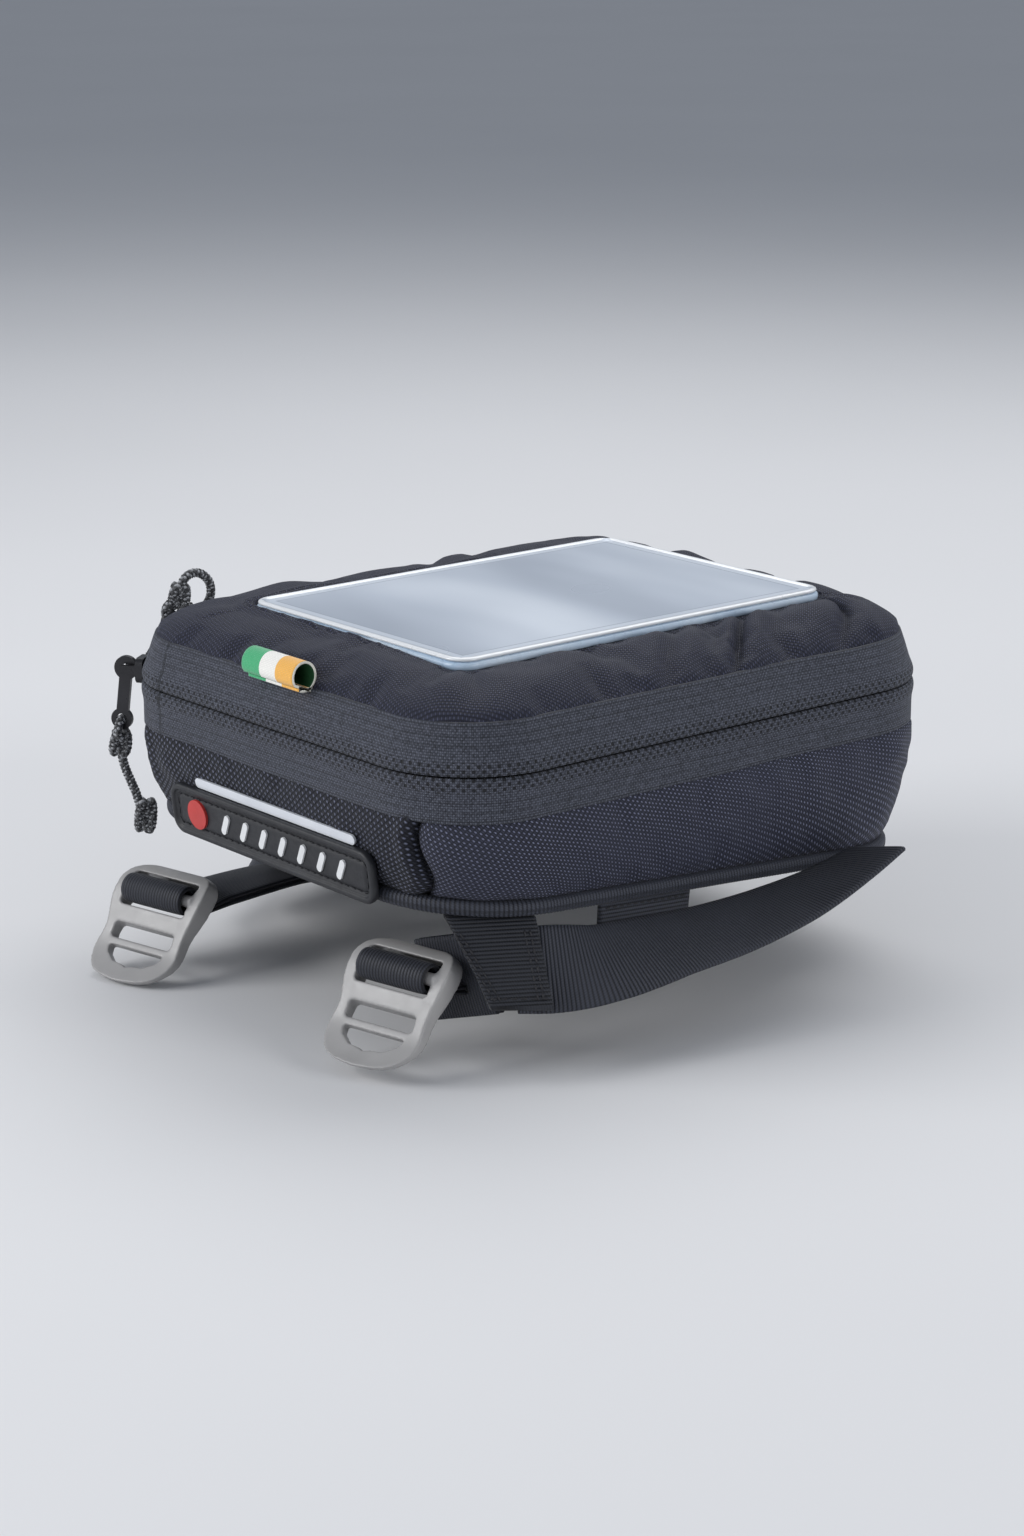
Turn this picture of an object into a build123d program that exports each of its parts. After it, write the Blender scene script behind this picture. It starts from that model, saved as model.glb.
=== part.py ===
from build123d import *
import math
import os

os.makedirs("parts", exist_ok=True)

# A small motorcycle tank bag.
# Row frame, millimetres: +Z up, the patch faces -Y, the rear hinge is at +Y and
# the origin is the centre of the underside of the anti-slip base pad.
# The lid and its zip lie level; the base falls away gently towards the rear.

# ---------------------------------------------------------------- driving sizes
ZIP_WIDTH = 171.0
ZIP_LENGTH = 198.0
ZIP_CORNER = 32.0
ZIP_HEIGHT = 49.4
ZIP_GAP = 0.7

BASE_WIDTH = 160.0
BASE_LENGTH = 189.0
BASE_CORNER = 34.0
BASE_SLOPE = 0.08
PAD_WIDTH = 80.0
PAD_LENGTH = 130.0
PAD_THICK = 2.0
PANEL_THICK = 1.4
BOARD_THICK = 2.4
BINDING_HEIGHT = 4.6
BINDING_DEPTH = 3.4
BINDING_PROUD = 1.2
BINDING_FOOT = 0.6

WALL_THICK = 2.2
BELLY_HEIGHT = 24.0
BELLY_WIDTH = 167.5
BELLY_LENGTH = 195.0

TAPE_LOW = 13.0
TAPE_HIGH = 14.5
TAPE_LEAN = 4.0
TAPE_THICK = 1.4
COIL_HEIGHT = 1.5
COIL_THICK = 1.4

WINDOW_WIDTH = 104.0
WINDOW_LENGTH = 148.0
WINDOW_CORNER = 8.0
WINDOW_HEIGHT = 70.3
WINDOW_SHIFT = 4.5
FLANGE = 7.0
TOP_THICK = 1.6
INSERT_RISE = 2.6
INSERT_RIM = 6.0
FILM_THICK = 0.9
LINER_THICK = 1.2
POCKET_WIDTH = 88.0
POCKET_SLOT = 14.0
HINGE_WIDTH = 96.0
HINGE_DROP = 9.0

RIBBON_LEFT = -7.5
RIBBON_WIDTH = 24.5
RIBBON_RADIUS = 4.0

PATCH_WIDTH = 99.0
PATCH_HEIGHT = 16.0
PATCH_CORNER = 5.0
PATCH_THICK = 1.6
PATCH_RIM = 0.8
BAR_COUNT = 7

WEB_WIDTH = 25.0
WEB_THICK = 1.6
ANCHOR_THICK = 3.0
ANCHOR_TOPS = {"right": (6.2, 4.2), "left": (3.4, 3.4)}
TAB_DROP = 8.5
TAIL_LEFT_SHIFT = 27.0
TAIL_LEFT_DROP = 6.0

BUCKLE_WIDTH = 35.0
BUCKLE_LENGTH = 40.0
BUCKLE_SLOT = 26.4
BAR_RADIUS = 1.9
BAR_LENGTH = 28.4
LOOP_GAP = 0.35
ROLL_RADIUS = 4.7
BUCKLE_YAW = 12.0
BUCKLE_PITCH = 38.0
OPENING_TOP = 16.0
WEB_BAR = 10.1
BAR_LIFT = 2.0
MAIN_TOP = 4.4
MAIN_FOOT = -1.2
THIN_TOP = -6.2

CORD_RADIUS = 1.4
SLIDER_LENGTH = 9.0
SLIDER_HEIGHT = 10.0
SLIDER_THICK = 2.4
TAB_LENGTH = 16.5
TAB_WIDTH = 5.6
TAB_THICK = 1.6
TAB_REAR_LENGTH = 12.0
BRIDGE_REACH = 4.4
BRIDGE_GAP = 3.4
POST_THICK = 1.2
EYE_RADIUS = 3.8
EYE_HOLE = 1.4
BRIDGE_BAR = 0.85
LOOP_RADIUS = 3.0

# ---------------------------------------------------------------- derived places
SEAM_HEIGHT = ZIP_HEIGHT + TAPE_HIGH
WALL_TOP = ZIP_HEIGHT - TAPE_LOW
LOWER_EDGE = ZIP_HEIGHT - ZIP_GAP / 2
UPPER_EDGE = ZIP_HEIGHT + ZIP_GAP / 2
base_plane = Plane(origin=(0, 0, 0), x_dir=(1, 0, 0), z_dir=(0, BASE_SLOPE, 1))
CORNER_X = -(ZIP_WIDTH / 2 - ZIP_CORNER)
CORNER_Y = -(ZIP_LENGTH / 2 - ZIP_CORNER)
SEAM_X = ZIP_WIDTH / 2 - ZIP_CORNER + 14.5


def save(part, name):
    """Label a finished piece and write it as its own STEP file."""
    part.label = name
    export_step(part, f"parts/{name}.step")


def outline(plane, width, length, corner, inset=0.0):
    """A rounded rectangle on a plane, moved inwards by inset."""
    with BuildSketch(plane) as shape:
        RectangleRounded(width - 2 * inset, length - 2 * inset, max(corner - inset, 2.0))
    return shape.sketch


def band(low, high, lean=0.0):
    """A ring of zip tape that follows the zip outline and may lean inwards."""
    slope = lean / (high - low)
    spare = 0.5
    with BuildPart() as ring:
        outline_loft(low, high, 0.0, lean)
        outline_loft(low - spare, high + spare, TAPE_THICK - slope * spare,
                     lean + TAPE_THICK + slope * spare, Mode.SUBTRACT)
    return ring.part


def outline_loft(low, high, low_inset, high_inset, mode=Mode.ADD):
    """A solid between the zip outline at two heights, each moved inwards by its inset."""
    shapes = [
        outline(Plane.XY.offset(low), ZIP_WIDTH, ZIP_LENGTH, ZIP_CORNER, low_inset),
        outline(Plane.XY.offset(high), ZIP_WIDTH, ZIP_LENGTH, ZIP_CORNER, high_inset),
    ]
    loft(shapes, mode=mode)


def ribbon(stations, width, thickness):
    """A flat strip through stations of (centre, way it runs, way its width lies)."""
    with BuildPart() as strip:
        for centre, travel, width_way in stations:
            forward = Vector(travel).normalized()
            sideways = Vector(width_way) - forward * forward.dot(Vector(width_way))
            with BuildSketch(Plane(origin=centre, x_dir=sideways, z_dir=forward)):
                Rectangle(width, thickness)
        loft(ruled=True)
    return strip.part


def knot(centre, radius, half_height):
    """A knot: a round lump stretched along Z."""
    with BuildPart() as lump:
        with BuildSketch(Plane.XZ):
            Ellipse(radius, half_height)
            Rectangle(2 * radius, 2 * half_height, align=(Align.MAX, Align.CENTER),
                      mode=Mode.SUBTRACT)
        revolve(axis=Axis.Z)
    return Pos(*centre) * lump.part


# ---------------------------------------------------------------- base
with BuildPart() as base_pad:
    with BuildSketch(base_plane):
        RectangleRounded(PAD_WIDTH, PAD_LENGTH, 14)
    extrude(amount=PAD_THICK)
save(base_pad.part, "base_pad")

with BuildPart() as base_panel:
    with BuildSketch(base_plane.offset(PAD_THICK)):
        RectangleRounded(BASE_WIDTH - 2 * BINDING_DEPTH, BASE_LENGTH - 2 * BINDING_DEPTH,
                         BASE_CORNER - BINDING_DEPTH)
    extrude(amount=PANEL_THICK)
save(base_panel.part, "base_panel")

with BuildPart() as base_board:
    with BuildSketch(base_plane.offset(PAD_THICK + PANEL_THICK)):
        RectangleRounded(BASE_WIDTH - 10, BASE_LENGTH - 10, BASE_CORNER - 5)
    extrude(amount=BOARD_THICK)
save(base_board.part, "base_board")

# the piped seam round the foot of the walls
with BuildPart() as base_binding:
    with BuildSketch(base_plane.offset(BINDING_FOOT)):
        RectangleRounded(BASE_WIDTH + 2 * BINDING_PROUD, BASE_LENGTH + 2 * BINDING_PROUD,
                         BASE_CORNER + BINDING_PROUD)
        RectangleRounded(BASE_WIDTH - 2 * BINDING_DEPTH, BASE_LENGTH - 2 * BINDING_DEPTH,
                         BASE_CORNER - BINDING_DEPTH, mode=Mode.SUBTRACT)
    extrude(amount=BINDING_HEIGHT)
save(base_binding.part, "base_binding")

# ---------------------------------------------------------------- walls
WALL_FOOT = BINDING_FOOT + BINDING_HEIGHT
wall_shell = loft([
    outline(base_plane.offset(WALL_FOOT), BASE_WIDTH, BASE_LENGTH, BASE_CORNER),
    outline(Plane.XY.offset(BELLY_HEIGHT), BELLY_WIDTH, BELLY_LENGTH, ZIP_CORNER + 1),
    outline(Plane.XY.offset(WALL_TOP), ZIP_WIDTH, ZIP_LENGTH, ZIP_CORNER, 0.3),
]) - loft([
    outline(base_plane.offset(WALL_FOOT), BASE_WIDTH, BASE_LENGTH, BASE_CORNER, WALL_THICK),
    outline(Plane.XY.offset(BELLY_HEIGHT), BELLY_WIDTH, BELLY_LENGTH, ZIP_CORNER + 1, WALL_THICK),
    outline(Plane.XY.offset(WALL_TOP), ZIP_WIDTH, ZIP_LENGTH, ZIP_CORNER, 0.3 + WALL_THICK),
])


def wall_zone(low_x, high_x, low_y, high_y):
    """A tall box that picks one panel out of the ring of walls."""
    return Pos((low_x + high_x) / 2, (low_y + high_y) / 2, 20) * Box(
        high_x - low_x, high_y - low_y, 80)


REACH = 120.0
panel_zones = {
    "front_panel": wall_zone(-SEAM_X, SEAM_X, -REACH, 0),
    "rear_panel": wall_zone(-SEAM_X, SEAM_X, 0, REACH),
    "left_side_panel": wall_zone(-REACH, -SEAM_X, -REACH, REACH),
    "right_side_panel": wall_zone(SEAM_X, REACH, -REACH, REACH),
}
for panel_name, zone in panel_zones.items():
    with BuildPart() as panel:
        add(wall_shell & zone)
    save(panel.part, panel_name)

# ---------------------------------------------------------------- zip
with BuildPart() as lower_zip_tape:
    add(band(WALL_TOP, LOWER_EDGE))
save(lower_zip_tape.part, "lower_zip_tape")

with BuildPart() as upper_zip_tape:
    add(band(UPPER_EDGE, SEAM_HEIGHT, TAPE_LEAN))
save(upper_zip_tape.part, "upper_zip_tape")


def coil(low, inset):
    """One side of the zip's coil, a rib behind the tape."""
    with BuildPart() as rib:
        with BuildSketch(Plane.XY.offset(low)):
            RectangleRounded(ZIP_WIDTH - 2 * inset, ZIP_LENGTH - 2 * inset, ZIP_CORNER - inset)
            deep = inset + COIL_THICK
            RectangleRounded(ZIP_WIDTH - 2 * deep, ZIP_LENGTH - 2 * deep, ZIP_CORNER - deep,
                             mode=Mode.SUBTRACT)
        extrude(amount=COIL_HEIGHT)
    return rib.part


with BuildPart() as lower_zip_coil:
    add(coil(LOWER_EDGE - COIL_HEIGHT, TAPE_THICK))
save(lower_zip_coil.part, "lower_zip_coil")

with BuildPart() as upper_zip_coil:
    add(coil(UPPER_EDGE, TAPE_THICK + 0.5))
save(upper_zip_coil.part, "upper_zip_coil")

# the strip of fabric inside the rear wall that the lid turns on
with BuildPart() as rear_hinge:
    with BuildSketch(Plane.XY.offset(LOWER_EDGE - HINGE_DROP)):
        with Locations((0, ZIP_LENGTH / 2 - TAPE_THICK - COIL_THICK - 0.9)):
            Rectangle(HINGE_WIDTH, 1.2)
    extrude(amount=HINGE_DROP)
save(rear_hinge.part, "rear_hinge")

# ---------------------------------------------------------------- lid
window_plane = Plane(origin=(0, WINDOW_SHIFT, WINDOW_HEIGHT), z_dir=(0, 0, 1))
lid_outer = loft([
    outline(Plane.XY.offset(SEAM_HEIGHT), ZIP_WIDTH, ZIP_LENGTH, ZIP_CORNER, TAPE_LEAN),
    outline(window_plane, WINDOW_WIDTH, WINDOW_LENGTH, WINDOW_CORNER),
])
lid_inner = loft([
    outline(Plane.XY.offset(SEAM_HEIGHT), ZIP_WIDTH, ZIP_LENGTH, ZIP_CORNER, TAPE_LEAN + 3.6),
    outline(window_plane.offset(-TOP_THICK), WINDOW_WIDTH, WINDOW_LENGTH, WINDOW_CORNER, 2.5),
])
with BuildPart() as top_panel:
    add(lid_outer)
    add(lid_inner, mode=Mode.SUBTRACT)
    with BuildSketch(window_plane):
        RectangleRounded(WINDOW_WIDTH - 2 * FLANGE, WINDOW_LENGTH - 2 * FLANGE, 5)
    extrude(amount=-12, mode=Mode.SUBTRACT)
save(top_panel.part, "top_panel")

with BuildPart() as lid_liner:
    with BuildSketch(Plane.XY.offset(SEAM_HEIGHT - LINER_THICK - 0.6)):
        RectangleRounded(ZIP_WIDTH - 12, ZIP_LENGTH - 12, ZIP_CORNER - 6)
        with Locations((0, ZIP_LENGTH / 2 - 9 - POCKET_SLOT / 2)):
            Rectangle(POCKET_WIDTH, POCKET_SLOT, mode=Mode.SUBTRACT)
    extrude(amount=LINER_THICK)
save(lid_liner.part, "lid_liner")

POCKET_FLOOR = SEAM_HEIGHT - 0.6
POCKET_REAR = ZIP_LENGTH / 2 - 9 - POCKET_SLOT
POCKET_FRONT = WINDOW_SHIFT - WINDOW_LENGTH / 2 + 5
with BuildPart() as pocket_backing:
    with BuildSketch(Plane.XY.offset(POCKET_FLOOR)):
        with Locations((0, (POCKET_REAR + POCKET_FRONT) / 2)):
            RectangleRounded(WINDOW_WIDTH - 8, POCKET_REAR - POCKET_FRONT, 4)
    extrude(amount=LINER_THICK)
save(pocket_backing.part, "pocket_backing")

# the pocket's front and side walls; its rear end is open
with BuildPart() as pocket_gusset:
    with BuildSketch(Plane.XY.offset(POCKET_FLOOR + LINER_THICK)):
        with Locations((0, (POCKET_REAR + POCKET_FRONT) / 2)):
            RectangleRounded(WINDOW_WIDTH - 8, POCKET_REAR - POCKET_FRONT, 4)
        with Locations((0, (POCKET_REAR + POCKET_FRONT) / 2 + 10)):
            Rectangle(WINDOW_WIDTH - 10.8, POCKET_REAR - POCKET_FRONT + 17.2,
                      mode=Mode.SUBTRACT)
    extrude(amount=WINDOW_HEIGHT - TOP_THICK - POCKET_FLOOR - LINER_THICK)
save(pocket_gusset.part, "pocket_gusset")

# the stiff pale rim that lifts the window above the lid
with BuildPart() as window_insert:
    with BuildSketch(window_plane):
        RectangleRounded(WINDOW_WIDTH - 2, WINDOW_LENGTH - 2, WINDOW_CORNER - 1)
        RectangleRounded(WINDOW_WIDTH - 2 - 2 * INSERT_RIM, WINDOW_LENGTH - 2 - 2 * INSERT_RIM,
                         3, mode=Mode.SUBTRACT)
    extrude(amount=INSERT_RISE)
save(window_insert.part, "window_insert")

with BuildPart() as window_film:
    with BuildSketch(window_plane.offset(INSERT_RISE)):
        RectangleRounded(WINDOW_WIDTH - 3, WINDOW_LENGTH - 3, WINDOW_CORNER - 1.5)
    extrude(amount=FILM_THICK)
    fillet(window_film.faces().sort_by(Axis.Z)[-1].edges(), radius=0.6)
save(window_film.part, "window_film")

# a short tube of woven ribbon caught in the lid seam
with BuildPart() as ribbon_loop:
    with BuildSketch(Plane(origin=(RIBBON_LEFT, -97.5, SEAM_HEIGHT + 3.7), z_dir=(1, 0, 0))):
        Circle(RIBBON_RADIUS)
        Circle(RIBBON_RADIUS - 0.8, mode=Mode.SUBTRACT)
    extrude(amount=RIBBON_WIDTH)
save(ribbon_loop.part, "ribbon_loop")

# ---------------------------------------------------------------- patch on the front panel
PATCH_TILT = math.radians(7)
patch_plane = Plane(origin=(1, -97.6, 15.8), x_dir=(1, 0, 0),
                    z_dir=(0, -math.cos(PATCH_TILT), -math.sin(PATCH_TILT)))
with BuildPart() as rubber_patch:
    with BuildSketch(patch_plane):
        RectangleRounded(PATCH_WIDTH, PATCH_HEIGHT, PATCH_CORNER)
    extrude(amount=PATCH_THICK)
    with BuildSketch(patch_plane.offset(PATCH_THICK)):
        RectangleRounded(PATCH_WIDTH, PATCH_HEIGHT, PATCH_CORNER)
        RectangleRounded(PATCH_WIDTH - 4, PATCH_HEIGHT - 4, PATCH_CORNER - 2,
                         mode=Mode.SUBTRACT)
    extrude(amount=PATCH_RIM)
save(rubber_patch.part, "rubber_patch")

with BuildPart() as patch_emblem:
    with BuildSketch(patch_plane.offset(PATCH_THICK)):
        with Locations((-36, 0)):
            Circle(4.6)
    extrude(amount=PATCH_RIM)
save(patch_emblem.part, "patch_emblem")

with BuildPart() as patch_bars:
    with BuildSketch(patch_plane.offset(PATCH_THICK)):
        with GridLocations(9.4, 0, BAR_COUNT, 1):
            with Locations((6.5, 0)):
                SlotOverall(7.0, 2.2, rotation=62)
    extrude(amount=PATCH_RIM - 0.2)
save(patch_bars.part, "patch_bars")

with BuildPart() as reflective_strip:
    with BuildSketch(patch_plane):
        with Locations((2, PATCH_HEIGHT / 2 + 1.8)):
            SlotOverall(78, 3.0)
    extrude(amount=0.7)
save(reflective_strip.part, "reflective_strip")

# ---------------------------------------------------------------- strap anchors and tabs
anchor_right_plane = Plane(origin=(67.5, -86.6, 0.2), x_dir=(0.5, 0.866, 0),
                           z_dir=(0.735, -0.424, 0.53))
anchor_left_plane = Plane(origin=(-74, -62, 0.4), x_dir=(0, 1, -BASE_SLOPE),
                          z_dir=(math.sin(math.radians(52)), 0, math.cos(math.radians(52))))
for side, plane in (("right", anchor_right_plane), ("left", anchor_left_plane)):
    near_top, far_top = ANCHOR_TOPS[side]
    with BuildPart() as anchor:
        with BuildSketch(plane):
            with BuildLine():
                Polyline((-0.5, near_top), (WEB_WIDTH, far_top), (WEB_WIDTH + 2.5, -21.5), (10, -20.5),
                         close=True)
            make_face()
        extrude(amount=ANCHOR_THICK)
    save(anchor.part, f"anchor_{side}")

for side, sign in (("right", 1), ("left", -1)):
    with BuildPart() as mid_tab:
        with BuildSketch(Plane(origin=(sign * 76, -21, 1.6), x_dir=(0, sign, -sign * BASE_SLOPE),
                               z_dir=(sign, 0, 0))):
            RectangleRounded(35, 2 * TAB_DROP, 1.5)
            Rectangle(40, TAB_DROP + 1, align=(Align.CENTER, Align.MIN), mode=Mode.SUBTRACT)
        extrude(amount=1.6)
    save(mid_tab.part, f"mid_tab_{side}")

# ---------------------------------------------------------------- long strap tails
# Each station is a centre, the way the strap runs and the way its width lies.
tail_right_stations = [
    ((85.8, -64.6, -8.6), (0.25, 0.95, -0.05), (0.44, 0, -0.9)),
    ((91.5, -50.0, -8.6), (0.22, 0.97, 0), (0.74, 0, -0.67)),
    ((93.0, -26.0, -8.0), (0.03, 1, 0), (0.9, 0, -0.43)),
    ((93.2, -2.0, -7.6), (0, 1, 0.04), (0.96, 0, -0.28)),
    ((93.6, 22.0, -5.0), (0, 0.99, 0.13), (0.99, 0, -0.1)),
    ((94.0, 42.0, -0.6), (0, 0.97, 0.24), (0.99, 0, 0.12)),
    ((94.2, 58.0, 4.2), (0, 0.95, 0.3), (0.96, 0, 0.28)),
]
tail_left_stations = [
    ((-x, y + TAIL_LEFT_SHIFT, z - TAIL_LEFT_DROP), (-t[0], t[1], t[2]), (w[0], 0, -w[2]))
    for (x, y, z), t, w in tail_right_stations
]
with BuildPart() as tail_right:
    add(ribbon(tail_right_stations, WEB_WIDTH, WEB_THICK))
save(tail_right.part, "tail_right")

with BuildPart() as tail_left:
    add(ribbon(tail_left_stations, WEB_WIDTH, WEB_THICK))
save(tail_left.part, "tail_left")

# ---------------------------------------------------------------- ladder-lock buckles
yaw = math.radians(BUCKLE_YAW)
pitch = math.radians(BUCKLE_PITCH)
across = Vector(math.cos(yaw), math.sin(yaw), 0)
upward = Vector(-math.sin(yaw) * math.sin(pitch), math.cos(yaw) * math.sin(pitch),
                math.cos(pitch))
facing = across.cross(upward)
buckle_planes = {
    "right": Plane(origin=(55.0, -98.2, -20.3), x_dir=across, z_dir=facing),
    "left": Plane(origin=(-55.0, -104.7, -23.7), x_dir=across, z_dir=facing),
}
# heights along the buckle, from its middle
TONGUE_OPENING = [(-11.2, -8.6), (11.2, -8.6), (10.0, -11.2), (6.0, -13.8), (1.8, -14.2), (0, -15.0),
                  (-1.8, -14.2), (-6.0, -13.8), (-10.0, -11.2)]


def buckle_body():
    """A ladder-lock: an S-shaped side, a waist, three openings and a bar for the webbing."""
    half = BUCKLE_LENGTH / 2
    with BuildPart() as body:
        with BuildSketch(Plane.YZ.offset(-BUCKLE_WIDTH / 2)):
            with BuildLine():
                front = Spline((half, -2.6), (12.5, 2.6), (3, 2.6), (-6, 1.4), (-13, 2.4), (-half, 5.6))
                back = Spline((-half, 3.2), (-13, -0.4), (-6, -2.6), (3, -2.8), (12.5, -4.2), (half, -5.6))
                Line(front @ 1, back @ 0)
                Line(back @ 1, front @ 0)
            make_face()
        extrude(amount=BUCKLE_WIDTH)
        # the outline: round shoulders, a waist and a wide round tongue
        with BuildSketch(Plane.XY.offset(-20)):
            with BuildLine():
                top = Line((0, half), (8.5, half))
                side = Spline(top @ 1, (15.4, 17.2), (BUCKLE_WIDTH / 2, 11), (17.0, 4), (15.9, -3.5),
                              (16.4, -9.5), (14.0, -15.4), (7.5, -19.2), (0, -half),
                              tangents=((1, 0), (-1, 0)), tangent_scalars=(1, 0.3))
                mirror(about=Plane.YZ)
            make_face()
        extrude(amount=40, mode=Mode.INTERSECT)
        # one opening above the main bar, a slot below it and the tongue's opening
        with BuildSketch(Plane.XY.offset(-20)):
            with Locations((0, (OPENING_TOP + MAIN_TOP) / 2)):
                RectangleRounded(BUCKLE_SLOT, OPENING_TOP - MAIN_TOP, 1.2)
            with Locations((0, (MAIN_FOOT + THIN_TOP) / 2)):
                RectangleRounded(BUCKLE_SLOT - 2, MAIN_FOOT - THIN_TOP, 1.2)
            with BuildLine():
                Polyline(*TONGUE_OPENING, close=True)
            make_face()
        extrude(amount=40, mode=Mode.SUBTRACT)
        with BuildSketch(Plane.YZ.offset(-BAR_LENGTH / 2)):
            with Locations((WEB_BAR, BAR_LIFT)):
                Circle(BAR_RADIUS)
        extrude(amount=BAR_LENGTH)
    return body.part


def strap_roll(plane):
    """The end of the webbing, rolled round the buckle's bar."""
    with BuildPart() as roll:
        with BuildSketch(Plane.YZ.offset(-WEB_WIDTH / 2)):
            with Locations((WEB_BAR, BAR_LIFT)):
                Circle(ROLL_RADIUS)
                Circle(BAR_RADIUS + LOOP_GAP, mode=Mode.SUBTRACT)
        extrude(amount=WEB_WIDTH)
    return plane.location * roll.part


# Each strap runs back from its roll; on the right it meets a fold that turns to the anchor.
strap_runs = {
    "right": [((53.4, -77.4, -17.8), (0, 0.95, -0.3), (1, 0.1, 0))],
    "left": [((-56.0, -80.0, -18.0), (0, 1, 0), (1, 0, 0.05)),
             ((-57.0, -54.6, -17.8), (0, 1, 0), (1, 0, 0.1))],
}
fold_stations = [
    ((48.0, -77.0, -19.0), (0.94, 0.06, 0.33), (-0.33, -0.1, 0.94)),
    ((71.5, -75.4, -11.0), (0.94, 0.06, 0.33), (-0.33, -0.1, 0.94)),
]
for side, plane in buckle_planes.items():
    with BuildPart() as buckle:
        add(plane.location * buckle_body())
    save(buckle.part, f"buckle_{side}")
    roll_back = plane.from_local_coords(Vector(0, WEB_BAR, BAR_LIFT - ROLL_RADIUS + 0.8))
    runs = [(roll_back, tuple(-facing), tuple(across))] + strap_runs[side]
    with BuildPart() as buckle_strap:
        add(strap_roll(plane))
        add(ribbon(runs, WEB_WIDTH - 0.4, 2 * WEB_THICK))
        if side == "right":
            add(ribbon(fold_stations, WEB_WIDTH - 0.4, 2 * WEB_THICK))
    save(buckle_strap.part, f"buckle_strap_{side}")

# ---------------------------------------------------------------- zip sliders and pulls
FRONT_ANGLE = math.radians(35)
outward = Vector(-math.cos(FRONT_ANGLE), -math.sin(FRONT_ANGLE), 0)
along = Vector(math.sin(FRONT_ANGLE), -math.cos(FRONT_ANGLE), 0)
corner_centre = Vector(CORNER_X, CORNER_Y, ZIP_HEIGHT)
front_seat = corner_centre + outward * (ZIP_CORNER + 0.9)
rear_seat = Vector(-ZIP_WIDTH / 2 - 0.6, -74.5, ZIP_HEIGHT)


def slider_body(seat, out, run):
    """A slider's outer plate, with two posts and the bar that its pull hangs from."""
    face = Plane(origin=seat, x_dir=run, z_dir=out)
    half_gap = BRIDGE_GAP / 2 + POST_THICK / 2
    with BuildPart() as body:
        with BuildSketch(face):
            RectangleRounded(SLIDER_LENGTH, SLIDER_HEIGHT - 2, 2.4)
        extrude(amount=SLIDER_THICK)
        with BuildSketch(face.offset(SLIDER_THICK)):
            with Locations((half_gap, 0), (-half_gap, 0)):
                Rectangle(POST_THICK, 2.6)
        extrude(amount=BRIDGE_REACH + 1.0)
        bar_centre = seat + out * (SLIDER_THICK + BRIDGE_REACH)
        with BuildSketch(Plane(origin=bar_centre, z_dir=run).offset(-half_gap)):
            Circle(BRIDGE_BAR)
        extrude(amount=2 * half_gap)
    return body.part


def pull_tab(pivot, run, hang, reach):
    """A flat metal pull: an eye on the slider's bar, a shank and an eye for the cord."""
    face = Plane(origin=pivot, x_dir=hang, z_dir=run)
    with BuildPart() as tab:
        with BuildSketch(face.offset(-TAB_THICK / 2)):
            Circle(EYE_RADIUS)
            with Locations((reach / 2, 0)):
                Rectangle(reach, TAB_WIDTH - 1.8)
            with Locations((reach, 0)):
                Circle(TAB_WIDTH / 2 + 0.6)
                Circle(CORD_RADIUS + 0.3, mode=Mode.SUBTRACT)
            Circle(EYE_HOLE, mode=Mode.SUBTRACT)
        extrude(amount=TAB_THICK)
    return tab.part


def cord_loop(eye, run, hang, radius):
    """The ring of cord that passes through the pull's lower eye."""
    with BuildPart() as ring:
        hub = eye + hang * radius
        normal = run.cross(hang)
        with BuildSketch(Plane(origin=eye, x_dir=hang, z_dir=run)):
            Circle(CORD_RADIUS)
        revolve(axis=Axis(hub, normal))
    return ring.part


def free_cord(route):
    """A cord through a list of points, each bend as large as its two runs allow."""
    corners = [Vector(point) for point in route]
    radii = []
    for before, here, after in zip(corners, corners[1:], corners[2:]):
        turn = math.radians((here - before).get_angle(after - here))
        shorter = min((here - before).length, (after - here).length)
        radii.append(0.45 * shorter / math.tan(turn / 2))
    with BuildPart() as tube:
        with BuildLine() as path:
            FilletPolyline(*route, radius=radii)
        centre_line = path.wire()
        with BuildSketch(Plane(origin=centre_line @ 0, z_dir=centre_line % 0)):
            Circle(CORD_RADIUS)
        sweep(path=centre_line)
    return tube.part


front_hang = (outward * 0.12 + Vector(0, 0, -1)).normalized()
front_pivot = front_seat + outward * (SLIDER_THICK + BRIDGE_REACH)
rear_outward = Vector(-1, 0, 0)
rear_along = Vector(0, 1, 0)
rear_hang = Vector(0.04, 0.45, 0.89).normalized()
rear_eye_axis = Vector(0, 0.89, -0.45).normalized()
rear_pivot = rear_seat + rear_outward * (SLIDER_THICK + BRIDGE_REACH)

front_eye = front_pivot + front_hang * TAB_LENGTH
front_knot = front_eye + front_hang * (2 * LOOP_RADIUS + 2.0)
rear_eye = rear_pivot + rear_hang * TAB_REAR_LENGTH
rear_knot = rear_eye + rear_hang * (2 * LOOP_RADIUS + 2.0)

front_route = [(-88.6, -91.5, 28.0), (-88.3, -91.3, 20.0), (-86.6, -89.6, 13.5),
               (-84.8, -87.6, 7.0), (-83.6, -86.2, -2.5)]
rear_route = [(-92.2, -66.6, 65.0), (-91.8, -64.8, 73.0), (-91.2, -58.6, 74.8),
              (-90.8, -53.8, 70.2), (-91.4, -54.4, 63.4), (-92.6, -58.8, 60.2)]
front_end_knot = (-83.5, -86.2, 1.7)
rear_end_knot = (-92.8, -59.6, 59.6)

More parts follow.
